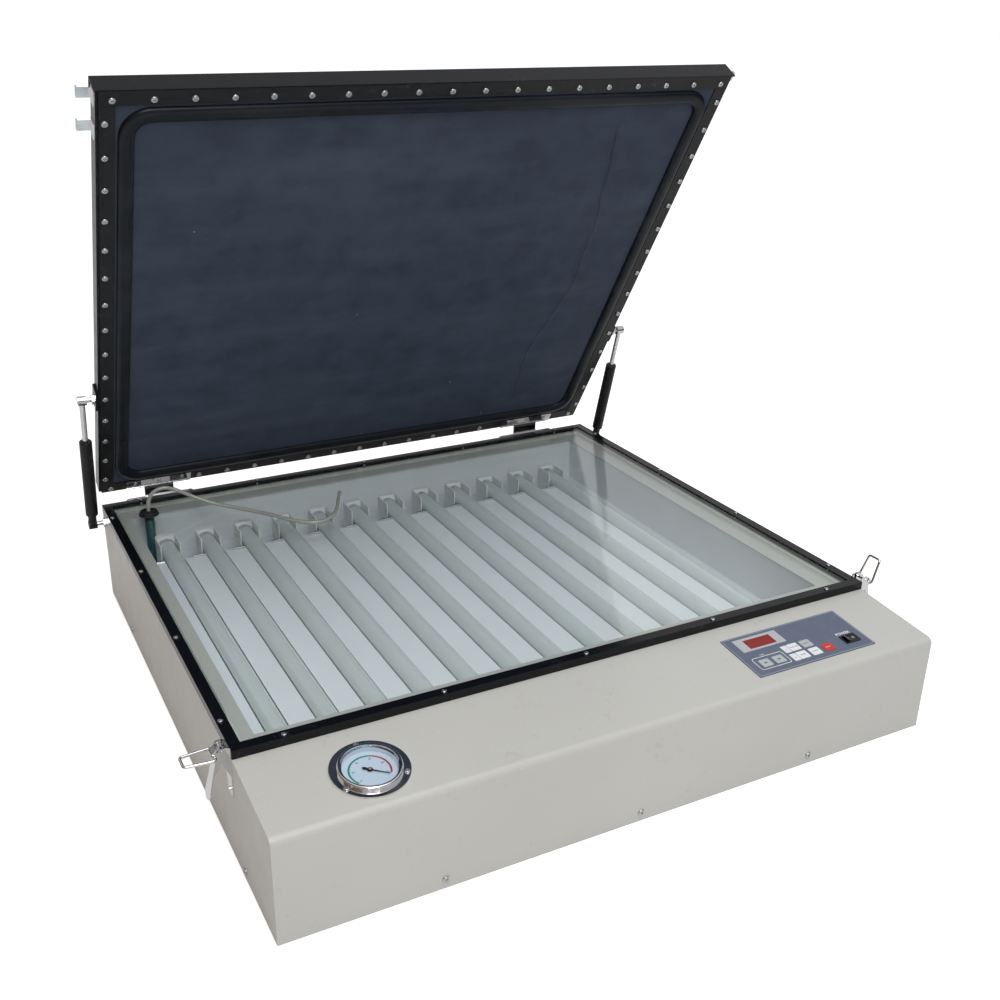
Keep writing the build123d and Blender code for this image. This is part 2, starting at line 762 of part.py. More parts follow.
with BuildPart() as vacuum_cap:
    # stepped rubber cap, with a spigot through the glass and a bore for the clear hose
    with BuildSketch(Plane.XY.offset(glass_top)):
        with Locations(cap_centre):
            Circle(cap_base_diameter / 2)
    extrude(amount=cap_base_height)
    with BuildSketch(Plane.XY.offset(glass_top + cap_base_height)):
        with Locations(cap_centre):
            Circle(cap_top_diameter / 2)
    extrude(amount=cap_top_height - cap_base_height)
    fillet(vacuum_cap.edges().group_by(Axis.Z)[-1], cap_round)
    with BuildSketch(Plane.XY.offset(glass_top - cap_spigot_length)):
        with Locations(cap_centre):
            Circle(cap_spigot_diameter / 2)
    extrude(amount=cap_spigot_length)
    with BuildSketch(Plane.XY.offset(glass_top - cap_spigot_length)):
        with Locations(cap_centre):
            Circle(cap_bore_diameter / 2)
    extrude(amount=cap_spigot_length + cap_top_height, mode=Mode.SUBTRACT)
save(vacuum_cap.part, "vacuum_cap")

stem_radius = stem_diameter / 2
barb_end = cap_x + stem_radius + suction_barb

with BuildPart() as vacuum_stem:
    # clear tube from the glass down through the light box, with a side barb for the pump's tube
    with BuildSketch(Plane.XY.offset(stem_foot_height)):
        with Locations(cap_centre):
            Circle(stem_radius)
    extrude(amount=glass_bottom - stem_foot_height)
    with BuildSketch(Plane.XY.offset(stem_foot_height + 2 * stem_wall)):
        with Locations(cap_centre):
            Circle(cap_spigot_diameter / 2 + slip_fit)
    extrude(amount=glass_bottom - stem_foot_height, mode=Mode.SUBTRACT)
    with BuildSketch(side_section(cap_x + stem_radius - stem_wall / 2)):
        with Locations((cap_y, suction_height)):
            Circle(suction_diameter / 2)
            Circle(suction_bore / 2, mode=Mode.SUBTRACT)
    extrude(amount=barb_end - cap_x - stem_radius + stem_wall / 2)
    with BuildSketch(side_section(cap_x)):
        with Locations((cap_y, suction_height)):
            Circle(suction_bore / 2)
    extrude(amount=barb_end - cap_x, mode=Mode.SUBTRACT)
save(vacuum_stem.part, "vacuum_stem")

pump_bottom = sheet + pump_mount_height
pump_port_x = pump_x - pump_head_size / 2

with BuildPart() as pump_mounts:
    with Locations((pump_x + pump_motor_length / 2, pump_y, sheet)):
        with GridLocations(pump_motor_length + pump_head_size / 2, pump_head_size / 2, 2, 2):
            Cylinder(
                pump_mount_diameter / 2,
                pump_mount_height,
                align=(Align.CENTER, Align.CENTER, Align.MIN),
            )
save(pump_mounts.part, "pump_mounts")

with BuildPart() as vacuum_pump:
    # diaphragm head with a motor on a common foot plate
    with Locations((pump_x + pump_motor_length / 2, pump_y, pump_bottom)):
        Box(
            pump_motor_length + pump_head_size,
            pump_head_size,
            2 * sheet,
            align=(Align.CENTER, Align.CENTER, Align.MIN),
        )
    head_bottom = pump_bottom + 2 * sheet
    with Locations((pump_x, pump_y, head_bottom)):
        Box(
            pump_head_size,
            pump_head_size,
            pump_head_height,
            align=(Align.CENTER, Align.CENTER, Align.MIN),
        )
    with BuildSketch(side_section(pump_x + pump_head_size / 2)):
        with Locations((pump_y, head_bottom + pump_head_height / 2)):
            Circle(pump_motor_diameter / 2)
    extrude(amount=pump_motor_length)
save(vacuum_pump.part, "vacuum_pump")

with BuildPart() as suction_tube:
    # soft tube from the stem's barb to the pump, held inside the cabinet
    with BuildLine():
        suction_path = FilletPolyline(
            (barb_end, cap_y, suction_height),
            (barb_end + suction_straight, cap_y, suction_height),
            (pump_port_x - suction_straight, pump_y, head_bottom + pump_head_height / 2),
            (pump_port_x, pump_y, head_bottom + pump_head_height / 2),
            radius=suction_bend,
        )
    with BuildSketch(Plane(origin=suction_path @ 0, z_dir=suction_path % 0)):
        Circle(suction_diameter / 2)
        Circle(suction_bore / 2, mode=Mode.SUBTRACT)
    sweep()
save(suction_tube.part, "suction_tube")

# Clear hose: out of the cap, over in one bend and down along the glass.
hose_lie = glass_top + hose_diameter / 2 + hose_rest_gap
hose_points = [
    (cap_x, cap_y, cap_top),
    (cap_x, cap_y, cap_top + 17.5),
    (cap_x + 11.5, cap_y - 0.5, cap_top + 31.5),
    (cap_x + 31.5, cap_y - 2, cap_top + 34),
    (cap_x + 54, cap_y - 7, cap_top + 22),
    (cap_x + 82, cap_y - 18, cap_top + 7),
    (cap_x + 114, cap_y - 35, hose_lie + 1.5),
    (cap_x + 141, cap_y - 60, hose_lie),
    (cap_x + 165, cap_y - 92, hose_lie),
    (cap_x + 186, cap_y - 124, hose_lie),
    (cap_x + 207, cap_y - 143, hose_lie),
    (cap_x + 229, cap_y - 145, hose_lie),
    (cap_x + 249, cap_y - 128, hose_lie),
    (cap_x + 265, cap_y - 99, hose_lie),
    (cap_x + 277, cap_y - 70, hose_lie),
    (cap_x + 287, cap_y - 51, hose_lie),
]
hose_vectors = [Vector(*point) for point in hose_points]
hose_runs = [after - before for before, after in zip(hose_vectors, hose_vectors[1:])]
hose_turns = [before.get_angle(after) for before, after in zip(hose_runs, hose_runs[1:])]
hose_radii = [
    0.45 * min(before.length, after.length) / math.tan(math.radians(turn / 2))
    for before, after, turn in zip(hose_runs, hose_runs[1:], hose_turns)
]

with BuildPart() as suction_hose:
    with BuildLine():
        hose_path = FilletPolyline(*hose_points, radius=hose_radii)
    with BuildSketch(Plane(origin=hose_path @ 0, z_dir=hose_path % 0)):
        Circle(hose_diameter / 2)
    sweep()
save(suction_hose.part, "suction_hose")
hose_section = math.pi * (hose_diameter / 2) ** 2
print("hose runs", [round(run.length, 1) for run in hose_runs])
print("hose turns", [round(turn, 1) for turn in hose_turns])
print("hose radii", [round(radius, 1) for radius in hose_radii])
print("hose length", round(hose_path.length, 1))
print("hose length from volume", round(suction_hose.part.volume / hose_section, 1))

# ---------------------------------------------------------------- vacuum gauge
gauge_centre = (gauge_x, -gauge_down)
gauge_origin = console_face.from_local_coords((gauge_x, -gauge_down, 0))
gauge_axis = Axis(gauge_origin, console_normal)
gauge_section = Plane(
    origin=gauge_origin, x_dir=(1, 0, 0), z_dir=Vector(1, 0, 0).cross(console_normal)
)
cup_radius = gauge_cup_diameter / 2
cup_inner_radius = cup_radius - gauge_wall
ring_radius = gauge_ring_diameter / 2
lens_seat = gauge_ring_height - gauge_lens_thickness - 1
dial_face = -gauge_dial_depth

with BuildPart() as gauge_case:
    # flange, raised ring that holds the lens, and the cup behind the console sheet
    with BuildSketch(gauge_section):
        with BuildLine():
            Polyline(
                (ring_radius - gauge_ring_round, gauge_ring_height),
                (cup_radius + slip_fit, gauge_ring_height),
                (cup_radius + slip_fit, lens_seat),
                (cup_inner_radius, lens_seat),
                (cup_inner_radius, gauge_wall - gauge_cup_depth),
                (0, gauge_wall - gauge_cup_depth),
                (0, -gauge_cup_depth),
                (cup_radius, -gauge_cup_depth),
                (cup_radius, 0),
                (gauge_flange_diameter / 2, 0),
                (gauge_flange_diameter / 2, gauge_flange_thickness),
                (ring_radius, gauge_flange_thickness),
                (ring_radius, gauge_ring_height - gauge_ring_round),
            )
            RadiusArc(
                (ring_radius, gauge_ring_height - gauge_ring_round),
                (ring_radius - gauge_ring_round, gauge_ring_height),
                -gauge_ring_round,
            )
        make_face()
    revolve(axis=gauge_axis)
    with BuildSketch(console_face):
        with Locations(gauge_centre):
            with PolarLocations(gauge_screw_radius, gauge_screw_count, start_angle=gauge_screw_start):
                Circle(rim_hole_radius)
    extrude(amount=2 * gauge_flange_thickness, mode=Mode.SUBTRACT)
save(gauge_case.part, "gauge_case")

with BuildPart() as gauge_dial:
    # dial plate on its movement, with the post that carries the pointer
    with BuildSketch(console_face.offset(dial_face)):
        with Locations(gauge_centre):
            Circle(cup_inner_radius - slip_fit)
    extrude(amount=-gauge_dial_thickness)
    with BuildSketch(console_face.offset(dial_face)):
        with Locations(gauge_centre):
            Circle(gauge_movement_diameter / 2)
    extrude(amount=-(gauge_cup_depth - gauge_wall - gauge_dial_depth))
    with BuildSketch(console_face.offset(dial_face)):
        with Locations(gauge_centre):
            Circle(pointer_post_diameter / 2)
    extrude(amount=gauge_dial_depth + 2 * pointer_thickness + running_gap)
save(gauge_dial.part, "gauge_dial")

pointer_turn = math.radians(pointer_angle)
pointer_face = Plane(
    origin=gauge_origin + console_normal * running_gap,
    x_dir=console_face.x_dir * math.cos(pointer_turn) + console_face.y_dir * math.sin(pointer_turn),
    z_dir=console_normal,
)
tail_start = -0.75 * pointer_tail

with BuildPart() as gauge_pointer:
    # tapered needle with a lozenge tail, turned on the post
    with BuildSketch(pointer_face):
        with BuildLine():
            Polyline(
                (-pointer_tail, 0),
                (tail_start, pointer_width),
                (0, pointer_width / 2),
                (pointer_length, pointer_width / 8),
                (pointer_length, -pointer_width / 8),
                (0, -pointer_width / 2),
                (tail_start, -pointer_width),
                close=True,
            )
        make_face()
        Circle(pointer_hub_diameter / 2)
        Circle(pointer_post_diameter / 2 + slip_fit, mode=Mode.SUBTRACT)
    extrude(amount=pointer_thickness)
save(gauge_pointer.part, "gauge_pointer")

with BuildPart() as gauge_lens:
    with BuildSketch(console_face.offset(lens_seat)):
        with Locations(gauge_centre):
            Circle(cup_radius)
    extrude(amount=gauge_lens_thickness)
save(gauge_lens.part, "gauge_lens")

# ---------------------------------------------------------------- control panel
key_places = {
    "arrow_left_key": (arrow_left_x, -arrow_row),
    "arrow_right_key": (arrow_right_x, -arrow_row),
    "vacuum_key": (middle_key_x, -upper_row),
    "light_key": (right_key_x, -upper_row),
    "timer_key": (middle_key_x, -lower_row),
    "start_key": (right_key_x, -lower_row),
    "stop_key": (stop_key_x, -stop_row),
}
overlay_x = (overlay_left + overlay_right) / 2
overlay_y = -(overlay_top + overlay_bottom) / 2
display_centre = (display_x, -display_down)
rocker_centre = (rocker_x, -rocker_down)
rocker_body_width = rocker_width - 2 * rocker_rise
rocker_body_depth = rocker_depth - 2 * rocker_rise

with BuildPart() as control_overlay:
    # printed plate on the console, with openings for the display, the keys and the rocker
    with BuildSketch(console_face):
        with Locations((overlay_x, overlay_y)):
            RectangleRounded(overlay_right - overlay_left, overlay_bottom - overlay_top, key_corner_radius)
        with Locations(display_centre):
            Rectangle(display_width, display_depth, mode=Mode.SUBTRACT)
        with Locations(*key_places.values()):
            RectangleRounded(
                key_width + 2 * slip_fit,
                key_depth + 2 * slip_fit,
                key_corner_radius,
                mode=Mode.SUBTRACT,
            )
        with Locations(rocker_centre):
            Rectangle(rocker_body_width, rocker_body_depth, mode=Mode.SUBTRACT)
    extrude(amount=overlay_thickness)
save(control_overlay.part, "control_overlay")

with BuildPart() as display_window:
    with BuildSketch(console_face.offset(-overlay_thickness)):
        with Locations(display_centre):
            Rectangle(display_width, display_depth)
    extrude(amount=2 * overlay_thickness - display_below)
save(display_window.part, "display_window")

lip_top = -running_gap
plunger_bottom = lip_top - lip_thickness - plunger_length
switch_top = plunger_bottom - key_travel - plunger_gap

for name, place in key_places.items():
    # square key cap with a lip that the overlay retains and a stem over its switch
    with BuildPart() as key:
        with BuildSketch(console_face.offset(lip_top)):
            with Locations(place):
                RectangleRounded(key_width - 2 * slip_fit, key_depth - 2 * slip_fit, key_corner_radius)
        extrude(amount=overlay_thickness + key_rise - lip_top)
        with BuildSketch(console_face.offset(lip_top)):
            with Locations(place):
                RectangleRounded(key_width + 2 * key_lip, key_depth + 2 * key_lip, key_corner_radius)
        extrude(amount=-lip_thickness)
        with BuildSketch(console_face.offset(lip_top - lip_thickness)):
            with Locations(place):
                Circle(plunger_radius)
        extrude(amount=plunger_bottom - lip_top + lip_thickness)
    save(key.part, name)

board_left = overlay_left + board_inset
board_right = rocker_x - rocker_width
board_x = (board_left + board_right) / 2
board_width = board_right - board_left
board_length = overlay_bottom - overlay_top
post_x = board_width / 2 - post_inset
post_y = board_length / 2 - post_inset

with BuildPart() as control_board:
    # circuit board on four posts, with a switch under each key and the display module
    with BuildSketch(console_face.offset(-board_depth)):
        with Locations((board_x, overlay_y)):
            Rectangle(board_width, board_length)
    extrude(amount=-board_thickness)
    with BuildSketch(console_face.offset(-board_depth)):
        with Locations((board_x, overlay_y)):
            with GridLocations(2 * post_x, 2 * post_y, 2, 2):
                Circle(post_radius)
    extrude(amount=board_depth - sheet)
    with BuildSketch(console_face.offset(-board_depth)):
        with Locations(*key_places.values()):
            Rectangle(switch_size, switch_size)
    extrude(amount=board_depth + switch_top)
    with BuildSketch(console_face.offset(-board_depth)):
        with Locations(display_centre):
            Rectangle(display_width, display_depth)
    extrude(amount=board_depth - overlay_thickness - running_gap)
save(control_board.part, "control_board")

rocker_half_width = rocker_body_width / 2 - rocker_wall - rocker_gap
rocker_half_depth = rocker_body_depth / 2 - rocker_wall - running_gap
rocker_origin = console_face.from_local_coords((rocker_x, -rocker_down, rocker_pivot_height))
rocker_section = Plane(origin=rocker_origin, x_dir=(1, 0, 0), z_dir=Vector(1, 0, 0).cross(console_normal))
rocker_turn = math.radians(rocker_tilt)
rocker_tilted = Plane(
    origin=rocker_origin,
    x_dir=rocker_section.x_dir * math.cos(rocker_turn) - console_normal * math.sin(rocker_turn),
    z_dir=rocker_section.z_dir,
)
frame_top = overlay_thickness + rocker_rise

with BuildPart() as rocker_frame:
    # flanged frame through the console, with bearings for the rocker's pins
    with BuildSketch(console_face.offset(overlay_thickness)):
        with Locations(rocker_centre):
            RectangleRounded(rocker_width, rocker_depth, 1)
    extrude(amount=rocker_rise)
    with BuildSketch(console_face.offset(overlay_thickness)):
        with Locations(rocker_centre):
            Rectangle(rocker_body_width - 2 * slip_fit, rocker_body_depth - 2 * slip_fit)
    extrude(amount=-(rocker_body_height + overlay_thickness))
    with BuildSketch(console_face.offset(frame_top)):
        with Locations(rocker_centre):
            Rectangle(rocker_body_width - 2 * rocker_wall, rocker_body_depth - 2 * rocker_wall)
    extrude(amount=-(rocker_body_height + frame_top - rocker_wall), mode=Mode.SUBTRACT)
    with BuildSketch(rocker_section):
        Circle(rocker_pin_radius + slip_fit)
    extrude(amount=rocker_body_depth / 2, both=True, mode=Mode.SUBTRACT)
save(rocker_frame.part, "rocker_frame")

with BuildPart() as power_rocker:
    # see-saw with a shallow V top, resting with its right end pressed
    with BuildSketch(rocker_tilted):
        with BuildLine():
            Polyline(
                (-rocker_half_width, rocker_end_rise),
                (0, rocker_middle_rise),
                (rocker_half_width, rocker_end_rise),
                (rocker_half_width / 2, -rocker_end_rise),
                (-rocker_half_width / 2, -rocker_end_rise),
                close=True,
            )
        make_face()
    extrude(amount=rocker_half_depth, both=True)
    with BuildSketch(rocker_section):
        Circle(rocker_pin_radius)
    extrude(amount=rocker_body_depth / 2 - running_gap, both=True)
save(power_rocker.part, "power_rocker")

# ---------------------------------------------------------------- mains inlet
inlet_face = Plane(origin=(inlet_x, rear_y, inlet_z), x_dir=(-1, 0, 0), z_dir=(0, 1, 0))

with BuildPart() as power_inlet:
    # flanged three-blade appliance inlet in the rear wall
    with BuildSketch(inlet_face):
        RectangleRounded(inlet_width, inlet_height, 3)
    extrude(amount=inlet_flange)
    with BuildSketch(inlet_face):
        Rectangle(inlet_body_width - 2 * slip_fit, inlet_body_height - 2 * slip_fit)
    extrude(amount=-inlet_depth)
    with BuildSketch(inlet_face.offset(inlet_flange)) as socket_outline:
        Rectangle(socket_width, socket_height)
        chamfer(socket_outline.vertices().group_by(Axis.Y)[-1], socket_corner)
    extrude(amount=-socket_depth, mode=Mode.SUBTRACT)
    with BuildSketch(inlet_face.offset(inlet_flange - socket_depth)):
        with Locations(
            (-blade_spread, -blade_offset),
            (blade_spread, -blade_offset),
            (0, blade_offset),
        ):
            Rectangle(blade_width, blade_height)
    extrude(amount=socket_depth - blade_below_face)
save(power_inlet.part, "power_inlet")

# ---------------------------------------------------------------- lid
frame_face = strip_thickness + blanket_thickness
lid_middle = lid_length / 2
lid_normal = Axis((0, edge_y, edge_z), lid_face.z_dir)
row_reach = lid_width / 2 - lid_screw_corner_x
row_x = even_places(-row_reach, row_reach, lid_screws_across)
side_along = even_places(lid_screw_side_first, lid_length - lid_screw_side_last, lid_screws_deep)
hinge_clear = hinge_width / 2 + lid_head_diameter
free_row_x = [x for x in row_x if min(abs(x - middle) for middle in hinge_middles) > hinge_clear]
lid_screw_points = [(x, lid_length - lid_screw_top_inset) for x in row_x]
lid_screw_points += [(x, lid_screw_row_inset) for x in free_row_x]
for side in (-1, 1):
    lid_screw_points += [(side * (lid_width / 2 - lid_screw_side_inset), along) for along in side_along]
leaf_screw_points = [(x, hinge_screw_along) for x in hinge_screw_x]
lid_hole_radius = lid_shank_diameter / 2 + slip_fit

with BuildPart() as lid_frame:
    # four mitred box-section bars
    with BuildSketch(lid_face.offset(-frame_face)):
        with Locations((0, lid_middle)):
            Rectangle(lid_width, lid_length)
            Rectangle(
                lid_width - 2 * frame_bar_width, lid_length - 2 * frame_bar_width, mode=Mode.SUBTRACT
            )
    extrude(amount=-(lid_thickness - frame_face))
    with BuildSketch(lid_face.offset(-frame_face - frame_wall)):
        with Locations((0, lid_middle)):
            Rectangle(lid_width - 2 * frame_wall, lid_length - 2 * frame_wall)
            Rectangle(
                lid_width - 2 * (frame_bar_width - frame_wall),
                lid_length - 2 * (frame_bar_width - frame_wall),
                mode=Mode.SUBTRACT,
            )
    extrude(amount=-(lid_thickness - frame_face - 2 * frame_wall), mode=Mode.SUBTRACT)
    with BuildSketch(lid_face.offset(-frame_face)):
        with Locations(*lid_screw_points):
            Circle(lid_hole_radius)
        with Locations(*leaf_screw_points):
            Circle(rim_hole_radius)
    extrude(amount=-2 * frame_wall, mode=Mode.SUBTRACT)
    for side_sign, end_sign in ((-1, -1), (-1, 1), (1, -1), (1, 1)):
        corner_x = side_sign * (lid_width - frame_bar_width) / 2
        corner_along = lid_middle + end_sign * (lid_length - frame_bar_width) / 2
        with Locations(lid_face):
            with Locations((corner_x, corner_along, -lid_thickness / 2)):
                Box(
                    2 * frame_bar_width,
                    mitre_gap,
                    2 * lid_thickness,
                    rotation=(0, 0, 45 * side_sign * end_sign),
                    mode=Mode.SUBTRACT,
                )
save(lid_frame.part, "lid_frame")

with BuildPart() as blanket:
    # rubber blanket with the raised seal bead that closes on the glass
    with BuildSketch(lid_face.offset(-frame_face)):
        with Locations((0, lid_middle)):
            Rectangle(lid_width - 2 * strip_side_margin, lid_length - 2 * strip_side_margin)
        with Locations(*lid_screw_points):
            Circle(lid_hole_radius, mode=Mode.SUBTRACT)
        with Locations(*leaf_screw_points):
            Circle(rim_hole_radius, mode=Mode.SUBTRACT)
    extrude(amount=blanket_thickness)
    bead_outer_width = lid_width - 2 * bead_side_inset
    bead_outer_depth = lid_length - 2 * bead_end_inset
    with BuildSketch(lid_face.offset(-strip_thickness)):
        with Locations((0, lid_middle)):
            RectangleRounded(bead_outer_width, bead_outer_depth, bead_outer_radius)
            RectangleRounded(
                bead_outer_width - 2 * bead_width,
                bead_outer_depth - 2 * bead_width,
                bead_outer_radius - bead_width,
                mode=Mode.SUBTRACT,
            )
    extrude(amount=bead_height)
    fillet(blanket.faces().sort_by(lid_normal)[-1].edges(), bead_round)
save(blanket.part, "blanket")

with BuildPart() as clamp_strips:
    # flat strips that clamp the blanket to the frame
    strip_x = lid_width / 2 - strip_side_margin - strip_width / 2
    with BuildSketch(lid_face.offset(-strip_thickness)):
        with Locations((0, strip_width / 2), (0, lid_length - strip_width / 2)):
            Rectangle(lid_width - 2 * strip_side_margin, strip_width)
        with Locations((-strip_x, lid_middle), (strip_x, lid_middle)):
            Rectangle(strip_width, lid_length - 2 * strip_width - 2 * mitre_gap)
        with Locations(*lid_screw_points):
            Circle(lid_hole_radius, mode=Mode.SUBTRACT)
        with Locations(*leaf_screw_points):
            Circle(rim_hole_radius, mode=Mode.SUBTRACT)
    extrude(amount=strip_thickness)
save(clamp_strips.part, "clamp_strips")

channel_end = lid_edge + lid_length
lid_top = lid_face_rise + lid_thickness

with BuildPart() as lid_front_channel:
    # glossy angle over the lid's free edge
    with BuildSketch(lid_section):
        with BuildLine():
            Polyline(
                (channel_end, lid_face_rise),
                (channel_end + channel_thickness, lid_face_rise),
                (channel_end + channel_thickness, lid_top + channel_thickness),
                (channel_end - channel_lip, lid_top + channel_thickness),
                (channel_end - channel_lip, lid_top),
                (channel_end, lid_top),
                close=True,
            )
        make_face()
    extrude(amount=lid_width / 2 + channel_overhang, both=True)
save(lid_front_channel.part, "lid_front_channel")

lid_screw = screw(lid_head_diameter, lid_head_height, lid_shank_diameter, lid_shank_length)

with BuildPart() as lid_screws:
    with Locations(lid_face):
        with Locations(*lid_screw_points):
            add(lid_screw)
    with Locations(lid_face.offset(hinge_leaf)):
        with Locations(*leaf_screw_points):
            add(hinge_screw)
save(lid_screws.part, "lid_screws")

# ---------------------------------------------------------------- hinges
barrel_radius = hinge_barrel_diameter / 2
pin_hole_radius = hinge_pin_diameter / 2 + slip_fit
knuckle_start = hinge_middle_width / 2 + hinge_knuckle_gap
knuckle_width = hinge_width / 2 - knuckle_start
leaf_top = axis_z - barrel_radius + hinge_leaf

with BuildPart() as hinge_base_leaves:
    # plate on the rear wall, with two shelves that carry the outer knuckles
    with BuildSketch(Plane.XZ.offset(-rear_y)):
        for middle in hinge_middles:
            with Locations((middle, leaf_top)):
                Rectangle(hinge_width, hinge_base_drop, align=(Align.CENTER, Align.MAX))
        with Locations(*[(x, hinge_screw_z) for x in hinge_screw_x]):
            Circle(rim_hole_radius, mode=Mode.SUBTRACT)
    extrude(amount=-hinge_leaf)
    for middle in hinge_middles:
        for side in (-1, 1):
            with BuildSketch(side_section(middle + side * (knuckle_start + knuckle_width / 2))):
                with Locations(((rear_y + axis_y) / 2, leaf_top - hinge_leaf / 2)):
                    Rectangle(axis_y - rear_y, hinge_leaf)
                with Locations((axis_y, axis_z)):
                    Circle(barrel_radius)
                    Circle(pin_hole_radius, mode=Mode.SUBTRACT)
            extrude(amount=knuckle_width / 2, both=True)
save(hinge_base_leaves.part, "hinge_base_leaves")

with BuildPart() as hinge_lid_leaves:
    # plate on the lid's lower face, with a tab down to the middle knuckle
    with BuildSketch(lid_face):
        for middle in hinge_middles:
            with Locations((middle, hinge_lid_reach / 2)):
                Rectangle(hinge_width, hinge_lid_reach)
        with Locations(*leaf_screw_points):
            Circle(rim_hole_radius, mode=Mode.SUBTRACT)
    extrude(amount=hinge_leaf)
    for middle in hinge_middles:
        with BuildSketch(lid_section.offset(-middle)):
            with BuildLine():
                Polyline(
                    (lid_edge + hinge_leaf, lid_face_rise),
                    (lid_edge - hinge_leaf / 4, lid_face_rise),
                    (-hinge_leaf / 2, barrel_radius - slip_fit),
                    (hinge_leaf, barrel_radius - hinge_leaf),
                    (lid_edge + hinge_leaf, lid_face_rise - hinge_leaf),
                    close=True,
                )
            make_face()
            Circle(barrel_radius)
            Circle(pin_hole_radius, mode=Mode.SUBTRACT)
        extrude(amount=hinge_middle_width / 2, both=True)
save(hinge_lid_leaves.part, "hinge_lid_leaves")

with BuildPart() as hinge_pins:
    for middle in hinge_middles:
        with BuildSketch(side_section(middle)):
            with Locations((axis_y, axis_z)):
                Circle(hinge_pin_diameter / 2)
        extrude(amount=hinge_width / 2, both=True)
        for side in (-1, 1):
            with BuildSketch(side_section(middle + side * hinge_width / 2)):
                with Locations((axis_y, axis_z)):
                    Circle(hinge_pin_diameter / 2 + hinge_pin_lip)
            extrude(amount=side * hinge_leaf)
save(hinge_pins.part, "hinge_pins")

# ---------------------------------------------------------------- gas struts
ball_x = side_x + strut_plane
ball_radius = strut_ball_diameter / 2
strut_top_y, strut_top_z = lid_point(strut_lid_along, strut_lid_above)
strut_run = Vector(0, strut_top_y - strut_base_y, strut_top_z - strut_base_z)
strut_direction = strut_run.normalized()
strut_length = strut_run.length
tube_end = strut_tube_start + strut_tube_length
tube_radius = strut_tube_diameter / 2
tube_bore = tube_radius - strut_tube_wall
rod_radius = strut_rod_diameter / 2
socket_radius = strut_socket_diameter / 2
stud_radius = strut_stud_diameter / 2
plate_face = lid_width / 2 + strut_plate_thickness
stud_length = ball_x - plate_face - running_gap
piston_start = tube_end - strut_gland_length - running_gap - strut_piston_length

pole_turn = (0, 90, 0)       # ball poles along the studs
nut_hexagon = RegularPolygon(nut_width / 2, 6, major_radius=False)

with BuildPart() as strut_base_studs:
    # ball studs through the side walls, each with a shoulder outside and a nut inside
    for side in (-1, 1):
        ball_centre = (side * ball_x, strut_base_y, strut_base_z)
        nut_start = side_x - sheet - nut_height
        with Locations(ball_centre):
            Sphere(ball_radius, rotation=pole_turn)
        with Locations((side * (nut_start + ball_x) / 2, strut_base_y, strut_base_z)):
            Cylinder(stud_radius, ball_x - nut_start, rotation=pole_turn)
        for nut_place in (nut_start, side_x):
            with BuildSketch(side_section(side * nut_place)):
                with Locations((strut_base_y, strut_base_z)):
                    add(nut_hexagon)
            extrude(amount=side * nut_height)
save(strut_base_studs.part, "strut_base_studs")

with BuildPart() as strut_lid_plates:
    for side in (-1, 1):
        with BuildSketch(lid_section.offset(-side * (lid_width / 2 + strut_plate_thickness / 2))):
            with Locations((strut_lid_along, lid_face_rise + (frame_face + lid_thickness) / 2)):
                Rectangle(strut_plate_along, lid_thickness - frame_face)
        extrude(amount=strut_plate_thickness / 2, both=True)
save(strut_lid_plates.part, "strut_lid_plates")

for side, side_name in ((-1, "left"), (1, "right")):
    strut_origin = Vector(side * ball_x, strut_base_y, strut_base_z)
    along_strut = Plane(origin=strut_origin, x_dir=(1, 0, 0), z_dir=strut_direction)
    top_origin = strut_origin + strut_run
    stud_reach = Vector(side * 2 * ball_radius, 0, 0)

    with BuildPart() as strut_cylinder:
        # pressure tube with a socket on the lower ball and a gland for the rod
        with BuildSketch(along_strut):
            Circle(neck_radius)
        extrude(amount=strut_tube_start)
        with BuildSketch(along_strut.offset(strut_tube_start)):
            Circle(tube_radius)
        extrude(amount=strut_tube_length)
        tube_rims = strut_cylinder.edges().filter_by(lambda edge: edge.length > 6 * tube_radius)
        fillet(tube_rims, strut_tube_wall)
        with BuildSketch(along_strut.offset(strut_tube_start + 2 * strut_tube_wall)):
            Circle(tube_bore)
        extrude(
            amount=strut_tube_length - 2 * strut_tube_wall - strut_gland_length,
            mode=Mode.SUBTRACT,
        )
        with BuildSketch(along_strut.offset(tube_end)):
            Circle(rod_radius + slip_fit)
        extrude(amount=-2 * strut_gland_length, mode=Mode.SUBTRACT)
        with Locations(strut_origin):
            Cylinder(socket_radius, strut_socket_length, rotation=pole_turn)
            Sphere(ball_radius + slip_fit, rotation=pole_turn, mode=Mode.SUBTRACT)
        with Locations(strut_origin - stud_reach / 2):
            Cylinder(stud_radius + running_gap, ball_radius * 2, rotation=pole_turn, mode=Mode.SUBTRACT)
    save(strut_cylinder.part, f"{side_name}_strut_cylinder")

    with BuildPart() as strut_rod:
        # piston, rod and upper socket, with the ball stud that stands on the lid's side plate
        with BuildSketch(along_strut.offset(piston_start)):
            Circle(tube_bore - slip_fit)
        extrude(amount=strut_piston_length)
        with BuildSketch(along_strut.offset(piston_start)):
            Circle(rod_radius)
        extrude(amount=strut_length - piston_start)
        with Locations(top_origin):
            Cylinder(socket_radius, strut_socket_length, rotation=pole_turn)
            Sphere(ball_radius + slip_fit, rotation=pole_turn, mode=Mode.SUBTRACT)
        with Locations(top_origin - stud_reach / 2):
            Cylinder(stud_radius + running_gap, ball_radius * 2, rotation=pole_turn, mode=Mode.SUBTRACT)
        with Locations(top_origin):
            Sphere(ball_radius, rotation=pole_turn)
        with Locations(top_origin - Vector(side * stud_length / 2, 0, 0)):
            Cylinder(stud_radius, stud_length, rotation=pole_turn)
        with BuildSketch(side_section(side * (plate_face + running_gap))):
            with Locations((strut_top_y, strut_top_z)):
                add(nut_hexagon)
        extrude(amount=side * nut_height)
    save(strut_rod.part, f"{side_name}_strut_rod")

print("strut length, open", round(strut_length, 2))

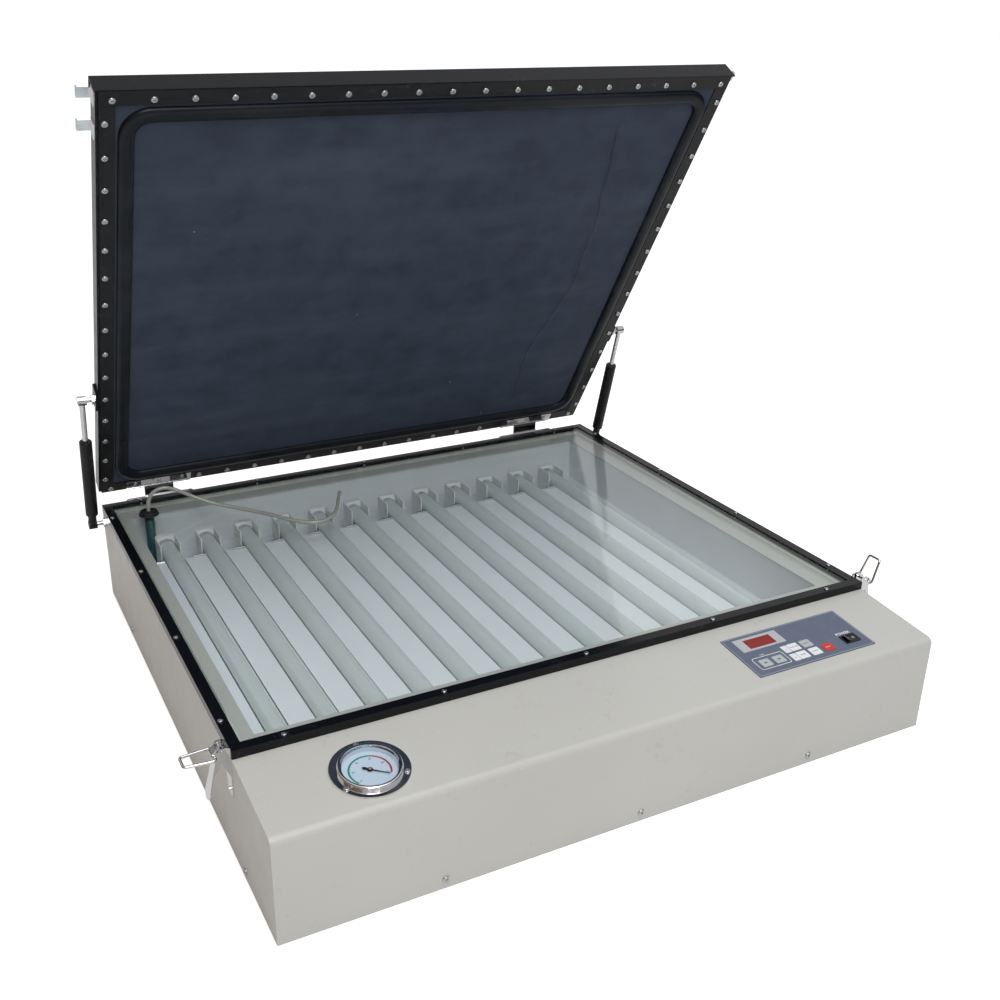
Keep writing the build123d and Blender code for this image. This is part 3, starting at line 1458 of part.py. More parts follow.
# ---------------------------------------------------------------- toggle latches
latch_y = bed_front_y + latch_from_rim_front
pivot_z = wall_height + latch_pivot_rise
cheek_middle = latch_cheek_span / 2 - latch_cheek / 2
latch_plane = Plane.XZ.offset(-latch_y)
lean_sine = math.sin(math.radians(lever_lean))
lean_cosine = math.cos(math.radians(lever_lean))
bail_radius = bail_wire / 2
rivet_heights = (latch_base_bottom + rivet_inset, latch_base_top - rivet_inset)
bail_pin_gap = lever_width / 2 - lever_wall - bail_pin_inset

with BuildPart() as latch_bases:
    # plate on the side wall with two cheeks, and the pin that carries the lever
    for side in (-1, 1):
        pivot_x = side_x + latch_pivot_out
        with BuildSketch(side_section(side * side_x)):
            with Locations((latch_y, (latch_base_bottom + latch_base_top) / 2)):
                RectangleRounded(latch_base_width, latch_base_top - latch_base_bottom, 2)
        extrude(amount=side * sheet)
        for cheek_side in (-1, 1):
            with BuildSketch(Plane.XZ.offset(-latch_y - cheek_side * cheek_middle)):
                with BuildLine():
                    Polyline(
                        (side * side_x, latch_base_top - cheek_foot),
                        (side * side_x, latch_base_top),
                        (side * (side_x + running_gap), latch_base_top),
                        (side * (side_x + running_gap), pivot_z + 3),
                        (side * (pivot_x - 4), pivot_z + 5),
                        (side * (pivot_x + 2), pivot_z + 5),
                        (side * (pivot_x + 5), pivot_z + 1),
                        (side * (pivot_x + 3), pivot_z - 8),
                        (side * (side_x + sheet), latch_base_top - cheek_foot),
                        close=True,
                    )
                make_face()
            extrude(amount=latch_cheek / 2, both=True)
        with BuildSketch(latch_plane):
            with Locations((side * pivot_x, pivot_z)):
                Circle(latch_pin_diameter / 2)
        extrude(amount=latch_cheek_span / 2 + latch_cheek / 2, both=True)
        with BuildSketch(side_section(side * (side_x + sheet))):
            with Locations(*[(latch_y, height) for height in rivet_heights]):
                Circle(rivet_radius)
        extrude(amount=side * sheet)
save(latch_bases.part, "latch_bases")


def lever_point(side, down, out):
    """X and Z of a point of a latch lever, from its distances down and out from the pivot."""
    x = side_x + latch_pivot_out + down * lean_sine + out * lean_cosine
    z = pivot_z - down * lean_cosine + out * lean_sine
    return side * x, z


for side, side_name, lean in ((-1, "left", left_bail_lean), (1, "right", right_bail_lean)):
    pivot_x = side_x + latch_pivot_out
    bail_x = side * (pivot_x + bail_out)
    bail_z = pivot_z - bail_below

    with BuildPart() as latch_lever:
        # two ears on the pivot pin and a paddle that hangs from them
        for ear_side in (-1, 1):
            ear_middle = ear_side * (lever_width - lever_wall) / 2
            with BuildSketch(Plane.XZ.offset(-latch_y - ear_middle)):
                with BuildLine():
                    Polyline(
                        lever_point(side, -4, -2.5),
                        lever_point(side, -4, 2.5),
                        lever_point(side, 1.5, 8.6),
                        lever_point(side, 5.5, 10),
                        lever_point(side, 9, 8),
                        lever_point(side, lever_web_start, lever_web_out),
                        lever_point(side, lever_shoulder, lever_web_out),
                        lever_point(side, lever_shoulder, lever_web_out - lever_wall),
                        lever_point(side, 12, -2),
                        lever_point(side, 3, -4),
                        close=True,
                    )
                make_face()
                with Locations((side * pivot_x, pivot_z)):
                    Circle(latch_pin_diameter / 2 + slip_fit, mode=Mode.SUBTRACT)
                with Locations((bail_x, bail_z)):
                    Circle(bail_radius + slip_fit, mode=Mode.SUBTRACT)
            extrude(amount=lever_wall / 2, both=True)
        web_x, web_z = lever_point(side, 0, lever_web_out)
        web_plane = Plane(
            origin=(web_x, latch_y, web_z),
            x_dir=(0, 1, 0),
            z_dir=(side * lean_cosine, 0, lean_sine),
        )
        down_sign = -side
        with BuildSketch(web_plane):
            with BuildLine():
                paddle_end = down_sign * lever_length
                paddle_round = down_sign * (lever_length - lever_paddle_width / 2)
                Polyline(
                    (lever_paddle_width / 2, paddle_round),
                    (lever_width / 2, down_sign * lever_shoulder),
                    (lever_width / 2, down_sign * lever_web_start),
                    (-lever_width / 2, down_sign * lever_web_start),
                    (-lever_width / 2, down_sign * lever_shoulder),
                    (-lever_paddle_width / 2, paddle_round),
                )
                ThreePointArc(
                    (-lever_paddle_width / 2, paddle_round),
                    (0, paddle_end),
                    (lever_paddle_width / 2, paddle_round),
                )
            make_face()
        extrude(amount=-lever_wall)
    save(latch_lever.part, f"{side_name}_latch_lever")

    with BuildPart() as latch_bail:
        # closed wire loop, its two ends turned inward through the lever's ears
        lean_angle = math.radians(lean)
        bail_up = Vector(side * math.sin(lean_angle), 0, math.cos(lean_angle))
        root = Vector(bail_x, latch_y, bail_z)
        tip = root + bail_up * bail_length
        across = Vector(0, 1, 0)
        with BuildLine():
            bail_path = FilletPolyline(
                root + across * bail_pin_gap,
                root + across * (bail_root_width / 2),
                tip + across * (bail_tip_width / 2),
                tip - across * (bail_tip_width / 2),
                root - across * (bail_root_width / 2),
                root - across * bail_pin_gap,
                radius=bail_corner_radius,
            )
        with BuildSketch(Plane(origin=bail_path @ 0, z_dir=bail_path % 0)):
            Circle(bail_radius)
        sweep()
    save(latch_bail.part, f"{side_name}_latch_bail")

keeper_along = axis_y - latch_y

with BuildPart() as latch_keepers:
    # plates on the lid's sides with a hooked shelf for the bail; the left side has a spare
    for side, places in ((-1, (keeper_along, keeper_along - keeper_second_along)), (1, (keeper_along,))):
        for along in places:
            plate_middle = (keeper_foot + keeper_shelf + keeper_thickness) / 2
            plate_height = keeper_shelf + keeper_thickness - keeper_foot
            with BuildSketch(lid_section.offset(-side * (lid_width / 2 + keeper_thickness / 2))):
                with Locations((along, lid_face_rise + plate_middle)):
                    Rectangle(keeper_width, plate_height)
            extrude(amount=keeper_thickness / 2, both=True)
            shelf_middle = side * (lid_width + keeper_reach) / 2
            with BuildSketch(lid_section.offset(-shelf_middle)):
                with Locations((along, lid_face_rise + keeper_shelf + keeper_thickness / 2)):
                    Rectangle(keeper_hook_width, keeper_thickness)
            extrude(amount=keeper_reach / 2, both=True)
            lip_middle = side * (lid_width / 2 + keeper_reach - keeper_thickness / 2)
            with BuildSketch(lid_section.offset(-lip_middle)):
                with Locations((along, lid_face_rise + (keeper_shelf + keeper_lip_top) / 2)):
                    Rectangle(keeper_hook_width, keeper_lip_top - keeper_shelf)
            extrude(amount=keeper_thickness / 2, both=True)
save(latch_keepers.part, "latch_keepers")
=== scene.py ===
"""Looks of a screen printing exposure unit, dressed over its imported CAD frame.

The object is a low sheet-steel cabinet with a glass bed over twelve lamps, a sloped console with a
vacuum gauge and a key panel, and a hinged lid that stretches a rubber blanket over the glass.
Sizes are in millimetres in the dataclasses and in metres in Blender.
"""

from __future__ import annotations

import json
import logging
import math
from dataclasses import dataclass, field
from enum import Enum
from typing import Any

import bmesh
import bpy
import numpy as np
from mathutils import Matrix, Vector

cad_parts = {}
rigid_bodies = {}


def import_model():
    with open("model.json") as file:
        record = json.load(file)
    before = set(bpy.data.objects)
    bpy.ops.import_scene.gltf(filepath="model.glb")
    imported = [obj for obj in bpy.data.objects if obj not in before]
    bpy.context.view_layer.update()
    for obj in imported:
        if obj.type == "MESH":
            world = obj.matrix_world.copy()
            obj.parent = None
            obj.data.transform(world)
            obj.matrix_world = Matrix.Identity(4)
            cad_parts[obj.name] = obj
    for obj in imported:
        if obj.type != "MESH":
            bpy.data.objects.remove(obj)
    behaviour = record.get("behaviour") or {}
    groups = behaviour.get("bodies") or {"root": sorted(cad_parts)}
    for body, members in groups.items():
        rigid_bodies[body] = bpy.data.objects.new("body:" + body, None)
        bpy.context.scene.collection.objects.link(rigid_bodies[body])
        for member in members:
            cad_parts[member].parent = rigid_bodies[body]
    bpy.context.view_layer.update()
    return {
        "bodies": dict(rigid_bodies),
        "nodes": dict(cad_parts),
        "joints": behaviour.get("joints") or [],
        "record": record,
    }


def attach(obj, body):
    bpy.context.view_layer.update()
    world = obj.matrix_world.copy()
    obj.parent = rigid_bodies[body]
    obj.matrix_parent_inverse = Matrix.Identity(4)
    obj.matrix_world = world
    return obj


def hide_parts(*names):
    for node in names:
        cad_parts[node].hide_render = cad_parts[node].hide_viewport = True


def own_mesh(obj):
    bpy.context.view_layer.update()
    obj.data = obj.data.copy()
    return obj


LOG = logging.getLogger("exposure_unit")
MM = 0.001
PRINT_THICKNESS = 0.05      # silk-screened ink and labels, drawn a little proud of their surface


# ---------------------------------------------------------------- node and colour helpers
def linear(colour: str) -> tuple[float, float, float, float]:
    """Turn an sRGB hex colour into linear light.

    Args:
        colour: six hex digits after a hash.

    Returns:
        Red, green, blue and an alpha of one.
    """
    values = np.array([int(colour[start:start + 2], 16) for start in (1, 3, 5)]) / 255
    light = np.where(values <= 0.04045, values / 12.92, ((values + 0.055) / 1.055) ** 2.4)
    return (float(light[0]), float(light[1]), float(light[2]), 1.0)


def add_node(tree: bpy.types.NodeTree, kind: str, inputs: dict[Any, Any] | None = None,
             **settings: Any) -> bpy.types.Node:
    """Add a shader node with its settings, and with values or links on its inputs.

    Args:
        tree: the node tree of a material or world.
        kind: the node's type name.
        inputs: for each input's name or number, a plain value or the output socket that feeds it.
        **settings: the node's own properties.

    Returns:
        The new node.
    """
    node = tree.nodes.new(kind)
    for name, value in settings.items():
        setattr(node, name, value)
    for name, value in (inputs or {}).items():
        if isinstance(value, bpy.types.NodeSocket):
            tree.links.new(value, node.inputs[name])
        else:
            node.inputs[name].default_value = value
    return node


def tinted(colour: str, share: float) -> tuple[float, float, float, float]:
    """A hex colour in linear light, scaled by a share of its brightness."""
    red, green, blue, alpha = linear(colour)
    return (min(red * share, 1.0), min(green * share, 1.0), min(blue * share, 1.0), alpha)


# ---------------------------------------------------------------- finishes
@dataclass(frozen=True)
class Finish:
    """A surface finish with a mottled colour, an uneven gloss and a fine relief.

    Sizes of the patterns are real ones in millimetres; the relief's depth is in millimetres too.
    """

    name: str
    colour: str
    roughness: float = 0.5
    metallic: float = 0.0
    specular: float = 0.5
    coat: float = 0.0
    mottle_size: float = 60.0
    mottle: float = 0.04
    gloss_size: float = 25.0
    gloss_change: float = 0.05
    relief_size: float = 3.0
    relief_depth: float = 0.01
    stretch: tuple[float, float, float] = (1.0, 1.0, 1.0)

    def build(self) -> bpy.types.Material:
        """Make the material, once for each finish."""
        known = bpy.data.materials.get(self.name)
        if known is not None:
            return known
        material = bpy.data.materials.new(self.name)
        material.use_nodes = True
        tree = material.node_tree
        tree.nodes.clear()
        place = add_node(tree, "ShaderNodeTexCoord").outputs["Object"]
        if self.stretch != (1.0, 1.0, 1.0):
            mapping = add_node(tree, "ShaderNodeMapping", {"Vector": place, "Scale": self.stretch})
            place = mapping.outputs["Vector"]
        shader = self.shader(tree, place)
        add_node(tree, "ShaderNodeOutputMaterial", {"Surface": shader})
        return material

    def noise(self, tree: bpy.types.NodeTree, place: bpy.types.NodeSocket, size: float,
              detail: float = 3.0) -> bpy.types.NodeSocket:
        """Cloudy noise whose features are about size millimetres across.

        Args:
            tree: the material's nodes.
            place: the coordinates in metres.
            size: size of a feature in millimetres.
            detail: octaves of finer features.

        Returns:
            The noise, from 0 to 1 about 0.5.
        """
        inputs = {"Vector": place, "Scale": 1 / (size * MM), "Detail": detail, "Roughness": 0.55}
        return add_node(tree, "ShaderNodeTexNoise", inputs).outputs["Fac"]

    def base_colour(self, tree: bpy.types.NodeTree,
                    place: bpy.types.NodeSocket) -> bpy.types.NodeSocket:
        """The finish's colour, a little darker and lighter in soft patches."""
        ramp = add_node(tree, "ShaderNodeValToRGB", {"Fac": self.noise(tree, place, self.mottle_size)})
        ramp.color_ramp.elements[0].position = 0.3
        ramp.color_ramp.elements[0].color = tinted(self.colour, 1 - self.mottle)
        ramp.color_ramp.elements[1].position = 0.7
        ramp.color_ramp.elements[1].color = tinted(self.colour, 1 + self.mottle)
        return ramp.outputs["Color"]

    def principled(self, tree: bpy.types.NodeTree,
                   place: bpy.types.NodeSocket) -> bpy.types.Node:
        """The main shader, with the finish's gloss and relief from noise.

        Args:
            tree: the material's nodes.
            place: the coordinates in metres.

        Returns:
            The Principled node, before any layer that a subclass adds.
        """
        gloss = add_node(tree, "ShaderNodeMapRange", {
            "Value": self.noise(tree, place, self.gloss_size),
            "From Min": 0.3,
            "From Max": 0.7,
            "To Min": max(self.roughness - self.gloss_change, 0.02),
            "To Max": min(self.roughness + self.gloss_change, 1.0),
        })
        relief = add_node(tree, "ShaderNodeBump", {
            "Height": self.noise(tree, place, self.relief_size),
            "Strength": 1.0,
            "Distance": self.relief_depth * MM,
        })
        return add_node(tree, "ShaderNodeBsdfPrincipled", {
            "Base Color": self.base_colour(tree, place),
            "Metallic": self.metallic,
            "Roughness": gloss.outputs["Result"],
            "Specular IOR Level": self.specular,
            "Coat Weight": self.coat,
            "Coat Roughness": 0.08,
            "Normal": relief.outputs["Normal"],
        })

    def shader(self, tree: bpy.types.NodeTree, place: bpy.types.NodeSocket) -> bpy.types.NodeSocket:
        """What the output node shows."""
        return self.principled(tree, place).outputs["BSDF"]


@dataclass(frozen=True)
class WornPaint(Finish):
    """Sprayed enamel that has picked up grey handling marks and a few small scuffs."""

    mark_colour: str = "#8f8b80"
    mark_size: float = 45.0
    mark_share: float = 0.16

    def base_colour(self, tree: bpy.types.NodeTree,
                    place: bpy.types.NodeSocket) -> bpy.types.NodeSocket:
        """The mottled paint with faint marks where a coarse and a fine noise are both high."""
        clean = super().base_colour(tree, place)
        coarse = self.noise(tree, place, self.mark_size, 6.0)
        fine = self.noise(tree, place, self.mark_size / 9, 2.0)
        both = add_node(tree, "ShaderNodeMath", {0: coarse, 1: fine}, operation="MULTIPLY")
        share = add_node(tree, "ShaderNodeMapRange", {
            "Value": both.outputs["Value"],
            "From Min": 0.34,
            "From Max": 0.46,
            "To Min": 0.0,
            "To Max": self.mark_share,
        })
        mixed = add_node(tree, "ShaderNodeMix", {
            0: share.outputs["Result"],
            6: clean,
            7: linear(self.mark_colour),
        }, data_type="RGBA")
        return mixed.outputs[2]


@dataclass(frozen=True)
class DustyRubber(Finish):
    """Calendered rubber with a bloom of dust: pale specks and long faint wipe marks."""

    dust_colour: str = "#8d95a3"
    wipe_share: float = 0.20
    speck_share: float = 0.75

    def base_colour(self, tree: bpy.types.NodeTree,
                    place: bpy.types.NodeSocket) -> bpy.types.NodeSocket:
        """The mottled rubber under wipe marks drawn out along the width, and sparse specks."""
        clean = super().base_colour(tree, place)
        drawn_out = add_node(tree, "ShaderNodeMapping", {"Vector": place, "Scale": (0.18, 1.0, 1.0)})
        wipes = add_node(tree, "ShaderNodeMapRange", {
            "Value": self.noise(tree, drawn_out.outputs["Vector"], 55.0, 8.0),
            "From Min": 0.45,
            "From Max": 0.8,
            "To Min": 0.0,
            "To Max": self.wipe_share,
        })
        wiped = add_node(tree, "ShaderNodeMix", {
            0: wipes.outputs["Result"],
            6: clean,
            7: linear(self.dust_colour),
        }, data_type="RGBA")
        cells = add_node(tree, "ShaderNodeTexVoronoi", {"Vector": place, "Scale": 1 / (28 * MM)})
        specks = add_node(tree, "ShaderNodeMapRange", {
            "Value": cells.outputs["Distance"],
            "From Min": 0.055,
            "From Max": 0.03,
            "To Min": 0.0,
            "To Max": self.speck_share,
        })
        sparse = add_node(tree, "ShaderNodeMath", {
            0: add_node(tree, "ShaderNodeSeparateColor", {"Color": cells.outputs["Color"]}).outputs["Red"],
            1: 0.86,
        }, operation="GREATER_THAN")
        shown = add_node(tree, "ShaderNodeMath", {
            0: specks.outputs["Result"],
            1: sparse.outputs["Value"],
        }, operation="MULTIPLY")
        dusty = add_node(tree, "ShaderNodeMix", {
            0: shown.outputs["Value"],
            6: wiped.outputs[2],
            7: linear(self.dust_colour),
        }, data_type="RGBA")
        return dusty.outputs[2]


@dataclass(frozen=True)
class SeeThrough(Finish):
    """A clear wall that passes light in its tint and mirrors more towards a grazing angle.

    body is the share that is seen as a surface of its own colour, as in cloudy or coloured plastic.
    """

    tint: str = "#e6f0ea"
    body: float = 0.0
    index: float = 1.5

    def shader(self, tree: bpy.types.NodeTree, place: bpy.types.NodeSocket) -> bpy.types.NodeSocket:
        """Tinted clear light, mixed with the surface's body, and then with its mirror gloss."""
        passed = add_node(tree, "ShaderNodeBsdfTransparent", {"Color": linear(self.tint)}).outputs["BSDF"]
        if self.body > 0:
            cloud = self.principled(tree, place).outputs["BSDF"]
            passed = add_node(tree, "ShaderNodeMixShader", {0: self.body, 1: passed, 2: cloud}).outputs[0]
        mirror = add_node(tree, "ShaderNodeBsdfGlossy", {
            "Color": (1, 1, 1, 1),
            "Roughness": self.roughness,
        })
        mixed = add_node(tree, "ShaderNodeMixShader", {
            0: self.mirror_share(tree),
            1: passed,
            2: mirror.outputs["BSDF"],
        })
        return mixed.outputs[0]

    def mirror_share(self, tree: bpy.types.NodeTree) -> bpy.types.NodeSocket:
        """The share that is mirrored: least straight on, and growing with the fifth power of the slant.

        It is the same from both sides, so that light that goes straight through isn't turned back.
        """
        slant = add_node(tree, "ShaderNodeLayerWeight", {"Blend": 0.5}).outputs["Facing"]
        grown = add_node(tree, "ShaderNodeMath", {0: slant, 1: 5.0}, operation="POWER")
        share = add_node(tree, "ShaderNodeMapRange", {
            "Value": grown.outputs["Value"],
            "To Min": ((self.index - 1) / (self.index + 1)) ** 2,
            "To Max": 1.0,
        })
        return share.outputs["Result"]


# Baked enamel on folded steel: smooth and fairly glossy, with the faint unevenness of a spray gun.
# Its grain is finer than a pixel, so it is drawn 4 mm coarse.
CREAM_ENAMEL = WornPaint("cream_baked_enamel", "#c4c4c0", 0.33, specular=0.45, mottle_size=240,
                         mottle=0.025, relief_size=4, relief_depth=0.006)
# Cool white enamel on the thin sheet round the lamps, whose only work is to throw light back.
WHITE_ENAMEL = Finish("white_reflector_enamel", "#e2e5e8", 0.4, mottle=0.03, relief_size=5)
BATTEN_ENAMEL = Finish("white_batten_enamel", "#f2f6fa", 0.35, mottle=0.02, relief_size=5)
# Stoved black enamel on square bar: deep and glossy, greyed by handling in a few places.
BLACK_ENAMEL = WornPaint("black_gloss_enamel", "#0b0d12", 0.2, specular=0.25, mottle=0.15,
                         relief_size=6, relief_depth=0.008, mark_colour="#3a3c42", mark_share=0.3)
SATIN_BLACK = WornPaint("black_satin_enamel", "#141418", 0.34, specular=0.3, mottle=0.12,
                        relief_size=5, mark_colour="#4b4e55", mark_share=0.35)
# Calendered rubber sheet: dull slate, cloudy from dust. The bead's darker colour is partly its own and
# partly painted shade; it is shinier too.
BLANKET_RUBBER = DustyRubber("slate_blanket_rubber", "#3b4353", 0.66, specular=0.14, mottle_size=38,
                             mottle=0.13, relief_size=2.5, relief_depth=0.05, wipe_share=0.1)
BEAD_RUBBER_AND_SHADE = DustyRubber("slate_bead_rubber", "#0f131b", 0.34, specular=0.24, mottle_size=60,
                          mottle=0.2, relief_size=4, relief_depth=0.03, wipe_share=0.05)
# Moulded rubber and open foam: one soft and even, the other rough with its cells.
BLACK_RUBBER = Finish("black_moulded_rubber", "#1b1c1e", 0.5, specular=0.35, mottle=0.15, relief_size=1.5)
FOAM_RUBBER = Finish("white_foam_rubber", "#c9ccc4", 0.85, mottle=0.06, relief_size=1.0,
                     relief_depth=0.08)
# Injection-moulded plastic: smooth, with a soft even shine.
WHITE_PLASTIC = Finish("white_moulded_plastic", "#f1f3f2", 0.3, mottle=0.02, relief_size=2)
BLACK_PLASTIC = Finish("black_moulded_plastic", "#17171a", 0.32, specular=0.4, mottle=0.1, relief_size=1)
# Bright nickel-chromium plate: a mirror with slight waviness from the stamping under it.
CHROME = Finish("bright_chrome_plate", "#dedee0", 0.1, metallic=1.0, mottle=0.03, gloss_change=0.04,
                relief_size=7, relief_depth=0.03)
# Plated, drawn and cast metal: from a bright grey to a dull one, as the surface gets rougher.
ZINC = Finish("zinc_plated_steel", "#c3c5c8", 0.28, metallic=1.0, mottle=0.06, relief_size=2)
ALUMINIUM = Finish("drawn_aluminium", "#c4c6c8", 0.38, metallic=1.0, mottle=0.05, relief_size=2,
                   stretch=(1.0, 0.2, 1.0))
CAST_ALUMINIUM = Finish("sand_cast_aluminium", "#9b9d9f", 0.55, metallic=1.0, mottle=0.1,
                        relief_size=1.2, relief_depth=0.08)
# Polished glass, almost colourless through its thickness. Its mirror share comes from its index,
# set a little under glass's usual 1.5 to match the object.
FLOAT_GLASS = SeeThrough("clear_float_glass", "#dfe9e3", 0.02, tint="#f8fafa", index=1.4)
GAUGE_GLASS = SeeThrough("gauge_window_glass", "#ffffff", 0.03, tint="#f4f8fb", index=1.45)
# Soft extruded vinyl: cloudy where it is clear, and nearly opaque where it is dyed teal.
CLEAR_VINYL = SeeThrough("clear_vinyl_hose", "#c9ccc6", 0.12, tint="#e2e5e0", body=0.42, index=1.4)
TEAL_VINYL = SeeThrough("teal_vinyl_tube", "#2d6468", 0.2, tint="#7fb0b0", body=0.72, index=1.4)
# The tube's wall is coated inside with phosphor powder, so it looks like frosted pale glass.
PHOSPHOR = Finish("phosphor_coated_glass", "#dbe2e2", 0.18, mottle=0.03, mottle_size=120, coat=0.4,
                  relief_size=20, relief_depth=0.0)
# Matt coated card under a thin blued needle.
DIAL_CARD = Finish("printed_dial_card", "#e9eff6", 0.6, mottle=0.02, mottle_size=12, relief_size=1)
DARK_NEEDLE = Finish("blued_steel_needle", "#20242f", 0.4, metallic=0.3, mottle=0.1, relief_size=1)
# Printed polyester film over the key switches, with a fine satin texture.
FILM = Finish("printed_satin_film", "#606a7e", 0.42, specular=0.35, mottle_size=14, mottle=0.05,
              relief_size=0.9, relief_depth=0.012)
DISPLAY_FILTER = Finish("red_acrylic_filter", "#8a2a24", 0.35, specular=0.25, mottle=0.05, mottle_size=10)
CIRCUIT_BOARD = Finish("green_circuit_board", "#1f5a34", 0.5, mottle=0.1, mottle_size=6)
# Keys and words are silk-screened in flat, slightly uneven ink.
KEY_WHITE = Finish("white_printed_key", "#e9ebef", 0.4, mottle=0.02, mottle_size=8, relief_size=1)
KEY_GREY = Finish("grey_printed_key", "#b4bcbd", 0.4, mottle=0.02, mottle_size=8, relief_size=1)
KEY_RED = Finish("red_printed_key", "#cf3226", 0.4, mottle=0.03, mottle_size=8, relief_size=1)
INK_WHITE = Finish("white_ink", "#e6e8ee", 0.5, mottle=0.03, mottle_size=5)
INK_PALE = Finish("pale_grey_ink", "#b8bac0", 0.5, mottle=0.03, mottle_size=8)
INK_DARK = Finish("dark_ink", "#3c4250", 0.5, mottle=0.1, mottle_size=5)
INK_GREEN = Finish("green_dial_ink", "#2f9673", 0.5, mottle=0.05, mottle_size=5)
INK_RED = Finish("red_dial_ink", "#c92f4d", 0.5, mottle=0.05, mottle_size=5)
BRASS = Finish("turned_brass", "#b8935a", 0.3, metallic=1.0, mottle=0.06, relief_size=2)


# ---------------------------------------------------------------- shapes
@dataclass(frozen=True)
class LocalFrame:
    """A flat working frame on the object: across, up along the surface, and out of it."""

    origin: tuple[float, float, float]
    across: tuple[float, float, float]
    along: tuple[float, float, float]

    def out(self) -> np.ndarray:
        """The direction out of the surface."""
        return np.cross(self.across, self.along)

    def place(self, points: np.ndarray) -> np.ndarray:
        """Turn points in millimetres in this frame into metres in the object's frame.

        Args:
            points: an array whose last axis is across, along and out.

        Returns:
            An array of the same shape, in metres.
        """
        axes = np.array([self.across, self.along, self.out()])
        return (np.array(self.origin) + points @ axes) * MM


UPRIGHT = LocalFrame((0, 0, 0), (1, 0, 0), (0, 1, 0))


@dataclass
class Surface:
    """Points in millimetres in a local frame, and faces, worked out as whole arrays."""

    points: np.ndarray
    faces: list[np.ndarray] = field(default_factory=list)

    @staticmethod
    def grid(points: np.ndarray, wrap_rows: bool = False, wrap_columns: bool = False,
             caps: bool = False) -> "Surface":
        """A surface over a grid of points: each face joins a point, the next ones and the one across.

        Args:
            points: rows by columns by three.
            wrap_rows: the last row joins the first.
            wrap_columns: the last column joins the first.
            caps: the first and last rows are filled with one face each.

        Returns:
            The surface, with its faces turned the same way.
        """
        rows, columns = points.shape[:2]
        row = np.arange(rows if wrap_rows else rows - 1)
        column = np.arange(columns if wrap_columns else columns - 1)
        row_here, column_here = (array.ravel() for array in np.meshgrid(row, column, indexing="ij"))
        row_next = (row_here + 1) % rows
        column_next = (column_here + 1) % columns
        quads = np.stack([
            row_here * columns + column_here,
            row_next * columns + column_here,
            row_next * columns + column_next,
            row_here * columns + column_next,
        ], axis=1)
        faces = [quads]
        if caps:
            last = (rows - 1) * columns
            faces += [np.arange(columns)[None, :], (last + np.arange(columns))[::-1][None, :]]
        return Surface(points.reshape(-1, 3), faces)

    @staticmethod
    def prism(outline: np.ndarray, low: float, high: float) -> "Surface":
        """A flat outline given a thickness: the same loop at two heights, joined and closed.

        Args:
            outline: points of the loop, counterclockwise, in millimetres.
            low: height of its lower face.
            high: height of its upper face.

        Returns:
            The closed surface.
        """
        levels = np.array([low, high])
        loops = np.concatenate([
            np.broadcast_to(outline, (2, *outline.shape)),
            np.broadcast_to(levels[:, None, None], (2, len(outline), 1)),
        ], axis=2)
        return Surface.grid(loops, wrap_columns=True, caps=True)

    @staticmethod
    def band(line: np.ndarray, width: float, low: float, high: float, closed: bool = False) -> "Surface":
        """A flat strip of even width along a line: the line moved half a width to each side.

        Args:
            line: points of the strip's middle.
            width: the strip's width.
            low: height of its lower face.
            high: height of its upper face.
            closed: the line's end joins its start.

        Returns:
            The closed surface.
        """
        if closed:
            ahead, behind = np.roll(line, -1, 0), np.roll(line, 1, 0)
        else:
            ahead = np.concatenate([line[1:], line[-1:]])
            behind = np.concatenate([line[:1], line[:-1]])
        run = ahead - behind
        run = run / np.linalg.norm(run, axis=1, keepdims=True)
        side = np.stack([-run[:, 1], run[:, 0]], axis=1) * width / 2
        profile = [(side, high), (side, low), (-side, low), (-side, high)]
        points = np.stack([
            np.concatenate([line + shift, np.full((len(line), 1), level)], axis=1)
            for shift, level in profile
        ], axis=1)
        return Surface.grid(points, wrap_rows=closed, wrap_columns=True, caps=not closed)

    @staticmethod
    def turned(profile: np.ndarray, centre: tuple[float, float], steps: int = 72) -> "Surface":
        """A profile of radius and height turned once round an upright axis.

        Args:
            profile: radius and height of each point, closed on the axis or on itself by its ends.
            centre: the axis in the frame.
            steps: points round the turn.

        Returns:
            The closed surface.
        """
        angle = np.linspace(0, 2 * math.pi, steps, endpoint=False)
        points = np.stack([
            centre[0] + np.outer(profile[:, 0], np.cos(angle)),
            centre[1] + np.outer(profile[:, 0], np.sin(angle)),
            np.broadcast_to(profile[:, 1][:, None], (len(profile), steps)),
        ], axis=2)
        return Surface.grid(points, wrap_columns=True, caps=True)

    @staticmethod
    def joined(surfaces: list["Surface"]) -> "Surface":
        """Several surfaces as one."""
        starts = np.cumsum([0] + [len(surface.points) for surface in surfaces[:-1]])
        faces = [face + start for surface, start in zip(surfaces, starts) for face in surface.faces]
        return Surface(np.concatenate([surface.points for surface in surfaces]), faces)

    def moved(self, across: float, along: float, out: float = 0.0) -> "Surface":
        """The same surface, shifted in its frame."""
        return Surface(self.points + np.array([across, along, out]), self.faces)

    def piece(self, name: str, finish: Finish, body: str, frame: LocalFrame = UPRIGHT,
              smooth_below: float = 35.0, closed: bool = True) -> bpy.types.Object:
        """Make the Blender object, dressed and riding on its body.

        Args:
            name: the piece's name.
            finish: its finish.
            body: the CAD body that it moves with.
            frame: the local frame of the points.
            smooth_below: edges that turn less than this many degrees are shaded smooth.
            closed: the surface is a closed shell, so its faces can be turned outward.

        Returns:
            The object, at the origin, with its place in its mesh.
        """
        mesh = bpy.data.meshes.new(name)
        faces = [row for block in self.faces for row in block.tolist()]
        mesh.from_pydata(frame.place(self.points).tolist(), [], faces)
        mesh.update()
        if closed:
            turn_outward(mesh)
        mesh.shade_smooth()
        mesh.set_sharp_from_angle(angle=math.radians(smooth_below))
        mesh.materials.append(finish.build())
        made = bpy.data.objects.new(name, mesh)
        bpy.context.scene.collection.objects.link(made)
        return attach(made, body)


